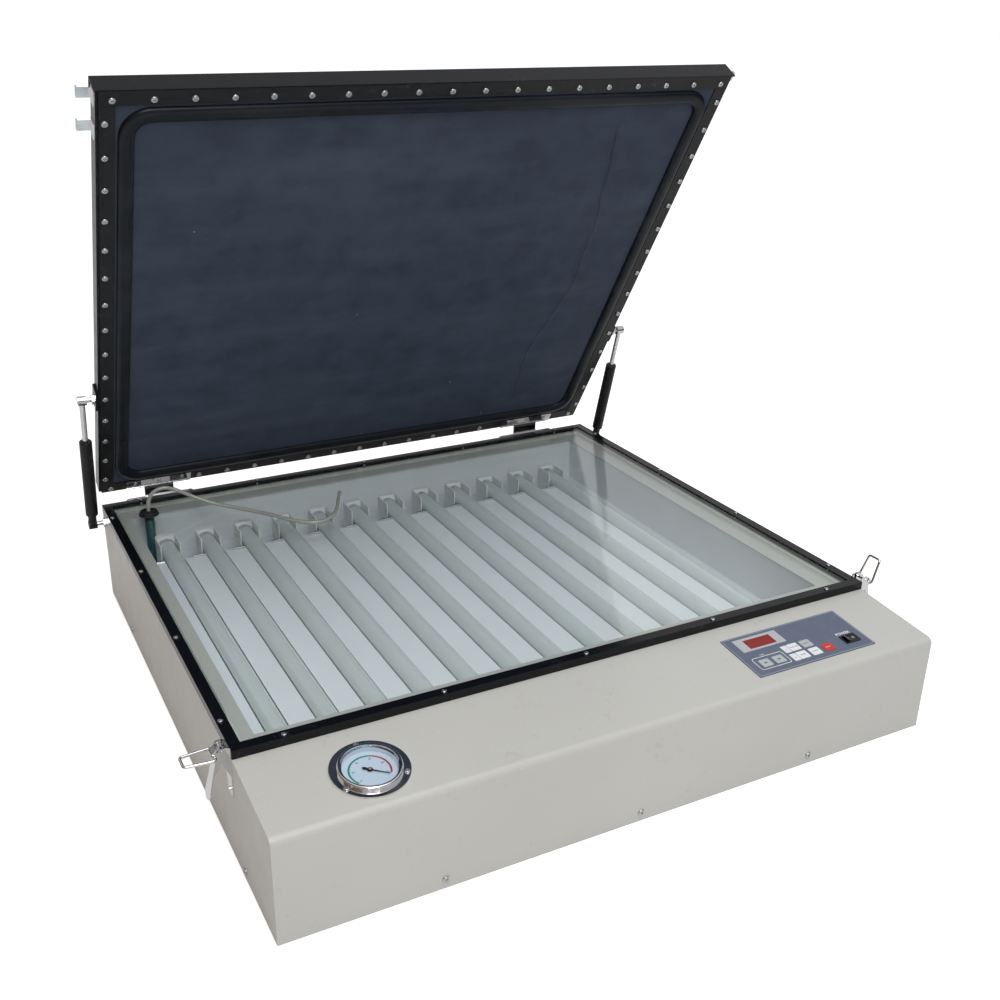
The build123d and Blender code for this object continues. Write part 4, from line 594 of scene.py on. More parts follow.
def turn_outward(mesh: bpy.types.Mesh) -> None:
    """Turn the faces of closed shells outward.

    Args:
        mesh: the mesh that is changed.
    """
    work = bmesh.new()
    work.from_mesh(mesh)
    bmesh.ops.recalc_face_normals(work, faces=work.faces)
    work.to_mesh(mesh)
    work.free()


def circle(radius: float, steps: int = 32, start: float = 0.0, end: float = 360.0) -> np.ndarray:
    """Points on a circle's arc, from start to end in degrees; a whole turn leaves its end out."""
    whole = abs(end - start) >= 360
    angle = np.radians(np.linspace(start, end, steps, endpoint=not whole))
    return radius * np.stack([np.cos(angle), np.sin(angle)], axis=1)


def rectangle(width: float, depth: float, radius: float = 0.0, steps: int = 6) -> np.ndarray:
    """A rectangle about the middle, with each corner a quarter circle of the radius."""
    if radius <= 0:
        return np.array([[1, 1], [-1, 1], [-1, -1], [1, -1]]) * np.array([width, depth]) / 2
    corner = np.array([[1, 1], [-1, 1], [-1, -1], [1, -1]])
    middles = corner * (np.array([width, depth]) / 2 - radius)
    return np.concatenate([
        middle + circle(radius, steps, 90 * quarter, 90 * quarter + 90)
        for quarter, middle in enumerate(middles)
    ])


def lettering(words: str, height: float, centre: tuple[float, float], level: float,
              bold: float = 0.0) -> Surface:
    """Plain letters or numbers as thin solids.

    Args:
        words: what is written.
        height: height of a capital in millimetres.
        centre: the middle of the words in the frame.
        level: height of the surface that carries them.
        bold: how far the strokes are thickened on each side, in millimetres.

    Returns:
        The letters' surface.
    """
    curve = bpy.data.curves.new("letters", "FONT")
    curve.body = words
    curve.align_x = "CENTER"
    curve.align_y = "CENTER"
    curve.size = height / 0.69
    curve.extrude = PRINT_THICKNESS
    curve.offset = bold
    curve.resolution_u = 3
    holder = bpy.data.objects.new("letters", curve)
    mesh = bpy.data.meshes.new_from_object(holder)
    mesh.calc_loop_triangles()
    points = np.zeros(len(mesh.vertices) * 3)
    mesh.vertices.foreach_get("co", points)
    corners = np.zeros(len(mesh.loop_triangles) * 3, dtype=np.int32)
    mesh.loop_triangles.foreach_get("vertices", corners)
    points = points.reshape(-1, 3)
    bpy.data.objects.remove(holder)
    bpy.data.curves.remove(curve)
    bpy.data.meshes.remove(mesh)
    return Surface(points + np.array([*centre, level]), [corners.reshape(-1, 3)])


# ---------------------------------------------------------------- shared frames of the object
@dataclass(frozen=True)
class Layout:
    """Places that several sub-assemblies share, worked out from the object's main sizes."""

    bed_front: float = -290.0
    wall_height: float = 140.0
    console_drop: float = 12.5
    console_depth: float = 123.0
    hinge_y: float = 428.5
    hinge_z: float = 142.0
    lid_open: float = 59.0
    lid_edge: float = 15.65
    lid_face_rise: float = 13.2

    def console(self) -> LocalFrame:
        """The sloped console: along is up the slope, from the bed's front edge."""
        slope = math.atan2(self.console_drop, self.console_depth)
        up_slope = (0, math.cos(slope), math.sin(slope))
        return LocalFrame((0, self.bed_front, self.wall_height), (1, 0, 0), up_slope)

    def lid(self) -> LocalFrame:
        """The open lid's lower face: along runs from its hinge edge to its free edge."""
        turn = math.radians(self.lid_open)
        y = self.hinge_y - self.lid_edge * math.cos(turn) + self.lid_face_rise * math.sin(turn)
        z = self.hinge_z + self.lid_edge * math.sin(turn) + self.lid_face_rise * math.cos(turn)
        return LocalFrame((0, y, z), (1, 0, 0), (0, -math.cos(turn), math.sin(turn)))


LAYOUT = Layout()


class Body(str, Enum):
    """The moving bodies that new pieces ride on."""

    CABINET = "cabinet"
    LID = "lid"


@dataclass
class SubAssembly:
    """A named group of CAD nodes, with the finish that each node wears."""

    finishes: dict[str, Finish] = field(default_factory=dict)

    def build(self) -> list[bpy.types.Object]:
        """Make the sub-assembly's new pieces; the plain one has none."""
        return []

    def dress(self, nodes: dict[str, bpy.types.Object]) -> None:
        """Give each CAD node its finish.

        Args:
            nodes: the CAD nodes by name.
        """
        for name, finish in self.finishes.items():
            slots = nodes[name].data.materials
            slots.clear()
            slots.append(finish.build())


# ---------------------------------------------------------------- studio
@dataclass(frozen=True)
class SoftBox:
    """A square lamp, its place and aim in metres, its side and its power in watts."""

    name: str
    place: tuple[float, float, float]
    aim: tuple[float, float, float]
    side: float
    power: float

    def build(self) -> None:
        """Hang the lamp."""
        light = bpy.data.lights.new(self.name, "AREA")
        light.shape = "SQUARE"
        light.size = self.side
        light.energy = self.power
        lamp = bpy.data.objects.new(self.name, light)
        lamp.location = self.place
        lamp.rotation_euler = (Vector(self.aim) - Vector(self.place)).to_track_quat("-Z", "Y").to_euler()
        bpy.context.scene.collection.objects.link(lamp)


@dataclass(frozen=True)
class Flag:
    """An upright card beside the set, unseen by the camera.

    Bright metal mirrors it, and it shades and tints the sides of the object that face it. Its middle
    and its reach along x and y are in metres on the floor, and its height is in metres.
    """

    name: str
    colour: str
    middle: tuple[float, float]
    reach: tuple[float, float]
    height: float

    def build(self) -> None:
        """Stand the card up."""
        half = np.array(self.reach) / 2
        low, high = np.array(self.middle) - half, np.array(self.middle) + half
        corners = [(*low, 0), (*high, 0), (*high, self.height), (*low, self.height)]
        mesh = bpy.data.meshes.new(self.name)
        mesh.from_pydata([tuple(map(float, corner)) for corner in corners], [], [(0, 1, 2, 3)])
        card = bpy.data.objects.new(self.name, mesh)
        bpy.context.scene.collection.objects.link(card)
        mesh.materials.append(Finish(f"{self.name}_felt", self.colour, 0.9, mottle=0.1).build())
        card.visible_camera = False


@dataclass
class Studio:
    """Camera, floor, sky, cards and soft boxes. The camera stands where the photograph was taken."""

    camera_place: tuple[float, float, float] = (-0.6559, -1.2556, 0.8450)
    camera_yaw: float = 26.45
    camera_pitch: float = -23.06
    camera_roll: float = 0.235
    focal_share: float = 1.13665         # focal length over the sensor's width
    sensor: float = 36.0
    shift: tuple[float, float] = (0.04465, -0.00306)
    floor_side: float = 60.0
    floor_colour: str = "#f4f4f4"
    floor_lift: float = 0.58             # glow that is added to the floor where it is seen
    sky_level: float = 0.6               # against 1 where it is seen
    lamps: tuple[SoftBox, ...] = (
        SoftBox("key_softbox", (-0.5, -2.3, 2.7), (0, 0, 0.2), 1.5, 48),
        SoftBox("top_softbox", (0.3, -0.4, 3.2), (0, 0, 0.1), 1.6, 16),
    )
    flags: tuple[Flag, ...] = (
        Flag("left_flag", "#7d6448", (-1.6, -0.6), (0.0, 4.4), 1.6),
        Flag("right_flag", "#2c2a28", (2.0, -1.2), (0.0, 3.0), 1.3),
        Flag("front_flag", "#3a3632", (0.4, -3.3), (4.5, 0.0), 0.9),
    )

    def build_camera(self) -> None:
        """Turn the camera by its yaw, pitch and roll, and shift its frame to the photograph's middle."""
        data = bpy.data.cameras.new("camera")
        data.sensor_width = self.sensor
        data.lens = self.focal_share * self.sensor
        data.shift_x, data.shift_y = self.shift
        camera = bpy.data.objects.new("camera", data)
        yaw = Matrix.Rotation(-math.radians(self.camera_yaw), 4, "Z")
        pitch = Matrix.Rotation(math.radians(90 + self.camera_pitch), 4, "X")
        roll = Matrix.Rotation(math.radians(self.camera_roll), 4, "Z")
        camera.matrix_world = Matrix.Translation(self.camera_place) @ yaw @ pitch @ roll
        bpy.context.scene.collection.objects.link(camera)
        bpy.context.scene.camera = camera

    def build_sky(self) -> None:
        """An even sky, white where it is seen straight or through glass, and dimmer in mirrors."""
        world = bpy.data.worlds.new("sky")
        bpy.context.scene.world = world
        world.use_nodes = True
        tree = world.node_tree
        tree.nodes.clear()
        level = add_node(tree, "ShaderNodeMapRange", {
            "Value": self.seen_share(tree),
            "To Min": self.sky_level,
            "To Max": 1.0,
        })
        sky = add_node(tree, "ShaderNodeBackground", {
            "Color": (1, 1, 1, 1),
            "Strength": level.outputs["Result"],
        })
        add_node(tree, "ShaderNodeOutputWorld", {"Surface": sky.outputs["Background"]})

    def seen_share(self, tree: bpy.types.NodeTree) -> bpy.types.NodeSocket:
        """One where a ray comes from the camera, straight or through glass, and zero elsewhere."""
        path = add_node(tree, "ShaderNodeLightPath")
        both = add_node(tree, "ShaderNodeMath", {
            0: path.outputs["Is Camera Ray"],
            1: path.outputs["Is Transmission Ray"],
        }, operation="MAXIMUM")
        return both.outputs["Value"]

    def build_floor(self) -> None:
        """A wide pale floor, lifted to white where it is seen.

        At this lift the floor round the object is white in the photograph's view, shadow and all.
        """
        half = self.floor_side / 2
        mesh = bpy.data.meshes.new("floor")
        corners = [(-half, -half, -MM), (half, -half, -MM), (half, half, -MM), (-half, half, -MM)]
        mesh.from_pydata(corners, [], [(0, 1, 2, 3)])
        floor = bpy.data.objects.new("floor", mesh)
        bpy.context.scene.collection.objects.link(floor)
        material = bpy.data.materials.new("white_seamless_paper")
        material.use_nodes = True
        tree = material.node_tree
        tree.nodes.clear()
        paper = add_node(tree, "ShaderNodeBsdfDiffuse", {"Color": linear(self.floor_colour)})
        level = add_node(tree, "ShaderNodeMapRange", {
            "Value": self.seen_share(tree),
            "To Min": 0.0,
            "To Max": self.floor_lift,
        })
        lift = add_node(tree, "ShaderNodeEmission", {
            "Color": (1, 1, 1, 1),
            "Strength": level.outputs["Result"],
        })
        both = add_node(tree, "ShaderNodeAddShader", {
            0: paper.outputs["BSDF"],
            1: lift.outputs["Emission"],
        })
        add_node(tree, "ShaderNodeOutputMaterial", {"Surface": both.outputs["Shader"]})
        mesh.materials.append(material)

    def build(self) -> None:
        """Set the colour view and make all of the studio."""
        bpy.context.scene.view_settings.view_transform = "Standard"
        self.build_camera()
        self.build_sky()
        self.build_floor()
        for part in (*self.flags, *self.lamps):
            part.build()


# ---------------------------------------------------------------- vacuum system
@dataclass
class SuctionHose:
    """The clear hose from the rubber cap: straight up, over in one bend and down along the glass."""

    cap_x: float = -372.5
    cap_y: float = 349.0
    lie: float = 152.3                   # height of the centreline where the hose lies on the glass
    diameter: float = 6.0
    bore: float = 4.0
    length: float = 425.6
    glass_top: float = 149.0
    closed_share: float = 0.15           # of its height, left under the shut lid
    never_taken: tuple[float, float, float] = (0.35, 0.9, 0.25)
    route: tuple[tuple[float, float, float], ...] = (
        (0, 0, 2.9),
        (0, 0, 20.4),
        (11.5, -0.5, 34.4),
        (31.5, -2, 36.9),
        (54, -7, 24.9),
        (82, -18, 9.9),
        (114, -35, 1.5),
        (141, -60, 0),
        (165, -92, 0),
        (186, -124, 0),
        (207, -143, 0),
        (229, -145, 0),
        (249, -128, 0),
        (265, -99, 0),
        (277, -70, 0),
        (287, -51, 0),
    )

    def line(self) -> np.ndarray:
        """The hose's centreline in metres, read from the route's own smooth spline."""
        curve = bpy.data.curves.new("hose_route", "CURVE")
        curve.dimensions = "3D"
        curve.resolution_u = 10
        spline = curve.splines.new("NURBS")
        spline.points.add(len(self.route) - 1)
        points = (np.array(self.route) + np.array([self.cap_x, self.cap_y, self.lie])) * MM
        spline.points.foreach_set("co", np.column_stack([points, np.ones(len(points))]).ravel())
        spline.order_u = 3
        spline.use_endpoint_u = True
        holder = bpy.data.objects.new("hose_route", curve)
        mesh = bpy.data.meshes.new_from_object(holder)
        line = np.zeros(len(mesh.vertices) * 3)
        mesh.vertices.foreach_get("co", line)
        bpy.data.objects.remove(holder)
        bpy.data.meshes.remove(mesh)
        bpy.data.curves.remove(curve)
        return line.reshape(-1, 3)

    def build(self) -> list[bpy.types.Object]:
        """Carry a ring, outside wall and bore, along the centreline.

        Returns:
            The hose.
        """
        line = self.line() / MM
        run = np.gradient(line, axis=0)
        run = run / np.linalg.norm(run, axis=1, keepdims=True)
        # The side direction is square to the run and to a fixed direction that the hose never takes.
        side = np.cross(run, np.array(self.never_taken))
        side = side / np.linalg.norm(side, axis=1, keepdims=True)
        up = np.cross(side, run)
        angle = np.linspace(0, 2 * math.pi, 24, endpoint=False)
        cosine, sine = np.cos(angle)[None, :, None], np.sin(angle)[None, :, None]
        ring = cosine * side[:, None, :] + sine * up[:, None, :]
        outer = line[:, None, :] + ring * self.diameter / 2
        inner = (line[:, None, :] + ring * self.bore / 2)[::-1]
        wall = Surface.grid(np.concatenate([outer, inner]), wrap_rows=True, wrap_columns=True)
        hose = wall.piece("clear_suction_hose", CLEAR_VINYL, Body.CABINET.value, smooth_below=60)
        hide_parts("suction_hose")
        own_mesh(hose)
        return [hose]


@dataclass
class VacuumSystem(SubAssembly):
    """The rubber cap on the glass, its tube through the light box, and the pump below."""

    cap_centre: tuple[float, float] = (-372.5, 349.0)
    glass_top: float = 149.0
    finishes: dict[str, Finish] = field(default_factory=lambda: {
        "vacuum_cap": BLACK_RUBBER,
        "vacuum_stem": TEAL_VINYL,
        "suction_tube": CLEAR_VINYL,
        "pump_mounts": BLACK_RUBBER,
        "vacuum_pump": CAST_ALUMINIUM,
    })

    def build(self) -> list[bpy.types.Object]:
        """Turn the cap's stepped profile: a thin skirt, a drum with a groove, and a low collar.

        Returns:
            The cap.
        """
        profile = np.array([
            (2.0, 0.0), (14.6, 0.0), (15.0, 0.4), (15.0, 1.3), (14.4, 1.9), (13.4, 2.1),
            (13.2, 2.6), (13.25, 4.9), (12.7, 5.8), (11.4, 6.2), (7.2, 6.2), (6.6, 5.8),
            (4.4, 5.7), (4.0, 6.2), (2.1, 6.2), (2.0, 5.6),
        ])
        spigot = np.array([(2.0, -15.0), (5.6, -15.0), (6.0, -14.4), (6.0, 0.0), (2.0, 0.0)])
        shapes = [
            Surface.turned(np.vstack([outline, outline[:1]]), self.cap_centre)
            for outline in (profile, spigot)
        ]
        for shape in shapes:
            # Each outline ends where it starts, so its two caps are left out.
            shape.faces = shape.faces[:1]
        cap = Surface.joined(shapes).moved(0, 0, self.glass_top)
        made = cap.piece("moulded_vacuum_cap", BLACK_RUBBER, Body.CABINET.value, smooth_below=50)
        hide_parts("vacuum_cap")
        return [made]


# ---------------------------------------------------------------- cabinet and light box
@dataclass
class Cabinet(SubAssembly):
    """Folded and screwed steel panels."""

    finishes: dict[str, Finish] = field(default_factory=lambda: {
        "base_pan": CREAM_ENAMEL,
        "left_side_panel": CREAM_ENAMEL,
        "right_side_panel": CREAM_ENAMEL,
        "front_panel": CREAM_ENAMEL,
        "rear_panel": CREAM_ENAMEL,
        "glass_ledge": CREAM_ENAMEL,
        "case_screws": ZINC,
        "ballasts": WHITE_ENAMEL,
    })


@dataclass
class LightBox(SubAssembly):
    """The white tray with its lamps."""

    finishes: dict[str, Finish] = field(default_factory=lambda: {
        "light_tray": WHITE_ENAMEL,
        "lamp_battens": BATTEN_ENAMEL,
        "lamp_holders": WHITE_PLASTIC,
        "lamp_tubes": PHOSPHOR,
        "lamp_caps": ALUMINIUM,
        "lamp_clips": CHROME,
    })


@dataclass
class GlassBed(SubAssembly):
    """The glass, its seal and the black angle bars round it."""

    finishes: dict[str, Finish] = field(default_factory=lambda: {
        "glass_plate": FLOAT_GLASS,
        "glass_seal": FOAM_RUBBER,
        "rim_angles": BLACK_ENAMEL,
    })


# ---------------------------------------------------------------- gauge
@dataclass
class Gauge(SubAssembly):
    """The round vacuum gauge with its printed dial."""

    centre: tuple[float, float] = (-305.5, -68.4)
    dial_level: float = -1.0
    arc_radius: float = 22.0
    arc_width: float = 2.0
    scale_start: float = 218.0
    scale_end: float = -30.0
    red_start: float = 68.0
    divisions: int = 20
    long_every: int = 4
    long_tick: float = 2.4
    short_tick: float = 1.3
    tick_width: float = 0.22
    numbers_radius: float = 17.4
    number_height: float = 2.3
    number_step: int = 5
    nut_level: float = 1.0
    finishes: dict[str, Finish] = field(default_factory=lambda: {
        "gauge_case": CHROME,
        "gauge_dial": DIAL_CARD,
        "gauge_lens": GAUGE_GLASS,
        "gauge_pointer": DARK_NEEDLE,
    })

    def printed(self, surfaces: list[Surface], name: str, finish: Finish) -> bpy.types.Object:
        """Put flat shapes on the dial."""
        placed = Surface.joined(surfaces).moved(*self.centre)
        return placed.piece(name, finish, Body.CABINET.value, LAYOUT.console())

    def build(self) -> list[bpy.types.Object]:
        """Print the green and red bands, the divisions and the numbers, and add the brass hub nut.

        Returns:
            The printed pieces and the nut.
        """
        low, high = self.dial_level, self.dial_level + PRINT_THICKNESS
        green_arc = circle(self.arc_radius, 60, self.red_start, self.scale_start)
        red_arc = circle(self.arc_radius, 40, self.scale_end, self.red_start)
        green = Surface.band(green_arc, self.arc_width, low, high)
        red = Surface.band(red_arc, self.arc_width, low, high)
        foot = self.arc_radius - self.arc_width / 2
        ticks, numbers = [], []
        for step in range(self.divisions + 1):
            turn = self.scale_start + (self.scale_end - self.scale_start) * step / self.divisions
            direction = circle(1.0, 1, turn, turn + 1)
            long = step % self.long_every == 0
            reach = self.long_tick if long else self.short_tick
            ends = np.concatenate([direction * foot, direction * (foot - reach)])
            ticks.append(Surface.band(ends, self.tick_width, low, high))
            if long:
                x, y = direction[0] * self.numbers_radius
                numbers.append(lettering(str(step * self.number_step), self.number_height, (x, y), low))
        return [
            self.printed([green], "dial_green_band", INK_GREEN),
            self.printed([red], "dial_red_band", INK_RED),
            self.printed(ticks + numbers, "dial_divisions", INK_DARK),
            self.hub_nut(),
        ]

    def hub_nut(self) -> bpy.types.Object:
        """The small brass nut on the pointer's post, turned from its profile."""
        profile = np.array([(2.0, 0.0), (2.0, 0.7), (1.7, 1.0), (0.8, 1.0), (0.8, 0.0)])
        nut = Surface.turned(profile, (0, 0), 24).moved(*self.centre, self.nut_level)
        return nut.piece("pointer_hub_nut", BRASS, "gauge_pointer", LAYOUT.console())


# ---------------------------------------------------------------- control panel
@dataclass
class ControlPanel(SubAssembly):
    """The printed film with its display, keys and mains rocker."""

    left: float = 174.0
    right: float = 354.5
    top: float = -26.0
    bottom: float = -103.0
    film_level: float = 1.0
    key_level: float = 1.6
    key_depth: float = 13.5
    display_centre: tuple[float, float] = (220.2, -44.6)
    display_size: tuple[float, float] = (40.5, 17.3)
    surround: tuple[float, float, float, float] = (187.0, 253.0, -56.5, -31.5)
    border_inset: float = 1.5
    arrow_keys: tuple[float, float] = (198.3, 218.5)
    arrow_row: float = -82.8
    arrow_frame: tuple[float, float] = (45.0, 22.2)
    arrow_frame_y: float = -81.6
    cell_width: float = 9.0
    cell_x: float = 240.0
    cell_rows: tuple[float, float] = (-70.2, -87.1)
    cell_lamp_radius: float = 1.1
    cell_lamp_drop: float = 1.3
    legend_height: float = 2.1
    rocker_centre: tuple[float, float] = (331.0, -83.1)
    rocker_tilt: float = 9.0
    rocker_fall: tuple[float, float] = (1.8, 8.6)      # each half falls this far over this width
    rocker_mark_away: float = 4.3
    rocker_mark_level: float = 3.5
    rocker_mark_ink: tuple[float, float] = (0.02, 0.08)
    finishes: dict[str, Finish] = field(default_factory=lambda: {
        "control_overlay": FILM,
        "display_window": DISPLAY_FILTER,
        "control_board": CIRCUIT_BOARD,
        "arrow_left_key": KEY_GREY,
        "arrow_right_key": KEY_GREY,
        "vacuum_key": KEY_WHITE,
        "light_key": KEY_GREY,
        "timer_key": KEY_WHITE,
        "start_key": KEY_WHITE,
        "stop_key": KEY_RED,
        "rocker_frame": BLACK_PLASTIC,
        "power_rocker": BLACK_PLASTIC,
        "power_inlet": BLACK_PLASTIC,
    })
    legends: tuple[tuple[str, float, float, str], ...] = (
        ("vacuum_key", 252.2, -70.2, "VACUUM"),
        ("light_key", 271.4, -70.2, "LIGHT"),
        ("timer_key", 252.2, -87.1, "TIMER"),
        ("start_key", 271.4, -87.1, "START"),
        ("stop_key", 292.5, -86.5, "STOP"),
    )

    def on_film(self, surfaces: list[Surface], name: str, finish: Finish) -> bpy.types.Object:
        """Put flat shapes on the film."""
        return Surface.joined(surfaces).piece(name, finish, Body.CABINET.value, LAYOUT.console())

    def label(self, outline: np.ndarray, centre: tuple[float, float]) -> Surface:
        """A flat printed shape on the film, about a centre."""
        low = self.film_level
        return Surface.prism(outline, low, low + PRINT_THICKNESS).moved(*centre)

    def frame_line(self, width: float, depth: float, radius: float, line: float,
                   centre: tuple[float, float]) -> Surface:
        """A thin printed line round a rounded rectangle."""
        low = self.film_level
        outline = rectangle(width, depth, radius)
        return Surface.band(outline, line, low, low + PRINT_THICKNESS, closed=True).moved(*centre)

    def build_prints(self) -> list[bpy.types.Object]:
        """The pale surround of the display, the lines, the narrow cells and the words on the film."""
        low, high = self.film_level, self.film_level + PRINT_THICKNESS
        left, right, bottom, top = self.surround
        wide, deep = self.display_size
        middle_x, middle_y = self.display_centre
        sides = [
            (left, middle_x - wide / 2, bottom, top),
            (middle_x + wide / 2, right, bottom, top),
            (middle_x - wide / 2, middle_x + wide / 2, middle_y + deep / 2, top),
            (middle_x - wide / 2, middle_x + wide / 2, bottom, middle_y - deep / 2),
        ]
        pale = [
            Surface.prism(rectangle(x1 - x0, y1 - y0), low, high).moved((x0 + x1) / 2, (y0 + y1) / 2)
            for x0, x1, y0, y1 in sides
        ]
        middle = ((self.left + self.right) / 2, (self.top + self.bottom) / 2)
        border_width = self.right - self.left - 2 * self.border_inset
        border_depth = self.top - self.bottom - 2 * self.border_inset
        border = self.frame_line(border_width, border_depth, 2.5, 0.5, middle)
        arrows = (sum(self.arrow_keys) / 2, self.arrow_frame_y)
        white = [
            self.frame_line(*self.arrow_frame, 3, 0.9, arrows),
            lettering("TIME", 2.2, (arrows[0] - 4, -67.6), low),
            lettering("POWER", 4.3, (330.0, -70.8), low, 0.12),
        ]
        cells = [
            self.label(rectangle(self.cell_width, self.key_depth, 1.0), (self.cell_x, row))
            for row in self.cell_rows
        ]
        lamp = Surface.prism(circle(self.cell_lamp_radius, 16), high, high + PRINT_THICKNESS)
        lamps = [lamp.moved(self.cell_x, row - self.cell_lamp_drop) for row in self.cell_rows]
        return [
            self.on_film(pale, "display_surround", INK_PALE),
            self.on_film([border], "film_border", INK_PALE),
            self.on_film(white, "film_words", INK_WHITE),
            self.on_film(cells, "key_cells", INK_WHITE),
            self.on_film(lamps, "key_lamps", INK_PALE),
        ]

    def build_keys(self) -> list[bpy.types.Object]:
        """Dark words on the keys, arrows on the arrow keys and a white word on the red key."""
        made = []
        for key, x, y, word in self.legends:
            ink = INK_WHITE if key == "stop_key" else INK_DARK
            shape = lettering(word, self.legend_height, (x, y), self.key_level)
            made.append(shape.piece(f"{key}_legend", ink, key, LAYOUT.console()))
        arrow = np.array([
            (2.6, 0), (-0.4, 1.7), (-0.4, 0.5), (-2.6, 0.5), (-2.6, -0.5), (-0.4, -0.5), (-0.4, -1.7),
        ])
        for key, x, way in zip(("arrow_left_key", "arrow_right_key"), self.arrow_keys, (-1, 1)):
            shape = Surface.prism(arrow * way, self.key_level, self.key_level + PRINT_THICKNESS)
            placed = shape.moved(x, self.arrow_row)
            made.append(placed.piece(f"{key}_legend", INK_DARK, key, LAYOUT.console()))
        return made

    def build_rocker_marks(self) -> list[bpy.types.Object]:
        """A line and a ring on the rocker's two sloping faces, which it carries as it tips."""
        console = LAYOUT.console()
        tilt = math.radians(self.rocker_tilt)
        fall = math.atan2(*self.rocker_fall)
        out = console.out()
        across = np.array(console.across)
        base = console.place(np.array([*self.rocker_centre, -1.0])) / MM
        made = []
        for name, side in (("on", -1), ("off", 1)):
            face_turn = tilt - side * fall
            run = across * math.cos(face_turn) - out * math.sin(face_turn)
            rest = across * math.cos(tilt) - out * math.sin(tilt)
            above = across * math.sin(tilt) + out * math.cos(tilt)
            spot = base + rest * side * self.rocker_mark_away + above * self.rocker_mark_level
            face = LocalFrame(tuple(spot), tuple(run), console.along)
            if side < 0:
                mark = Surface.prism(rectangle(2.6, 0.6), *self.rocker_mark_ink)
            else:
                mark = Surface.band(circle(1.3, 28), 0.5, *self.rocker_mark_ink, closed=True)
            made.append(mark.piece(f"rocker_{name}_mark", INK_WHITE, "power_rocker", face))
        return made

    def build(self) -> list[bpy.types.Object]:
        """All of the panel's printed pieces."""
        return self.build_prints() + self.build_keys() + self.build_rocker_marks()


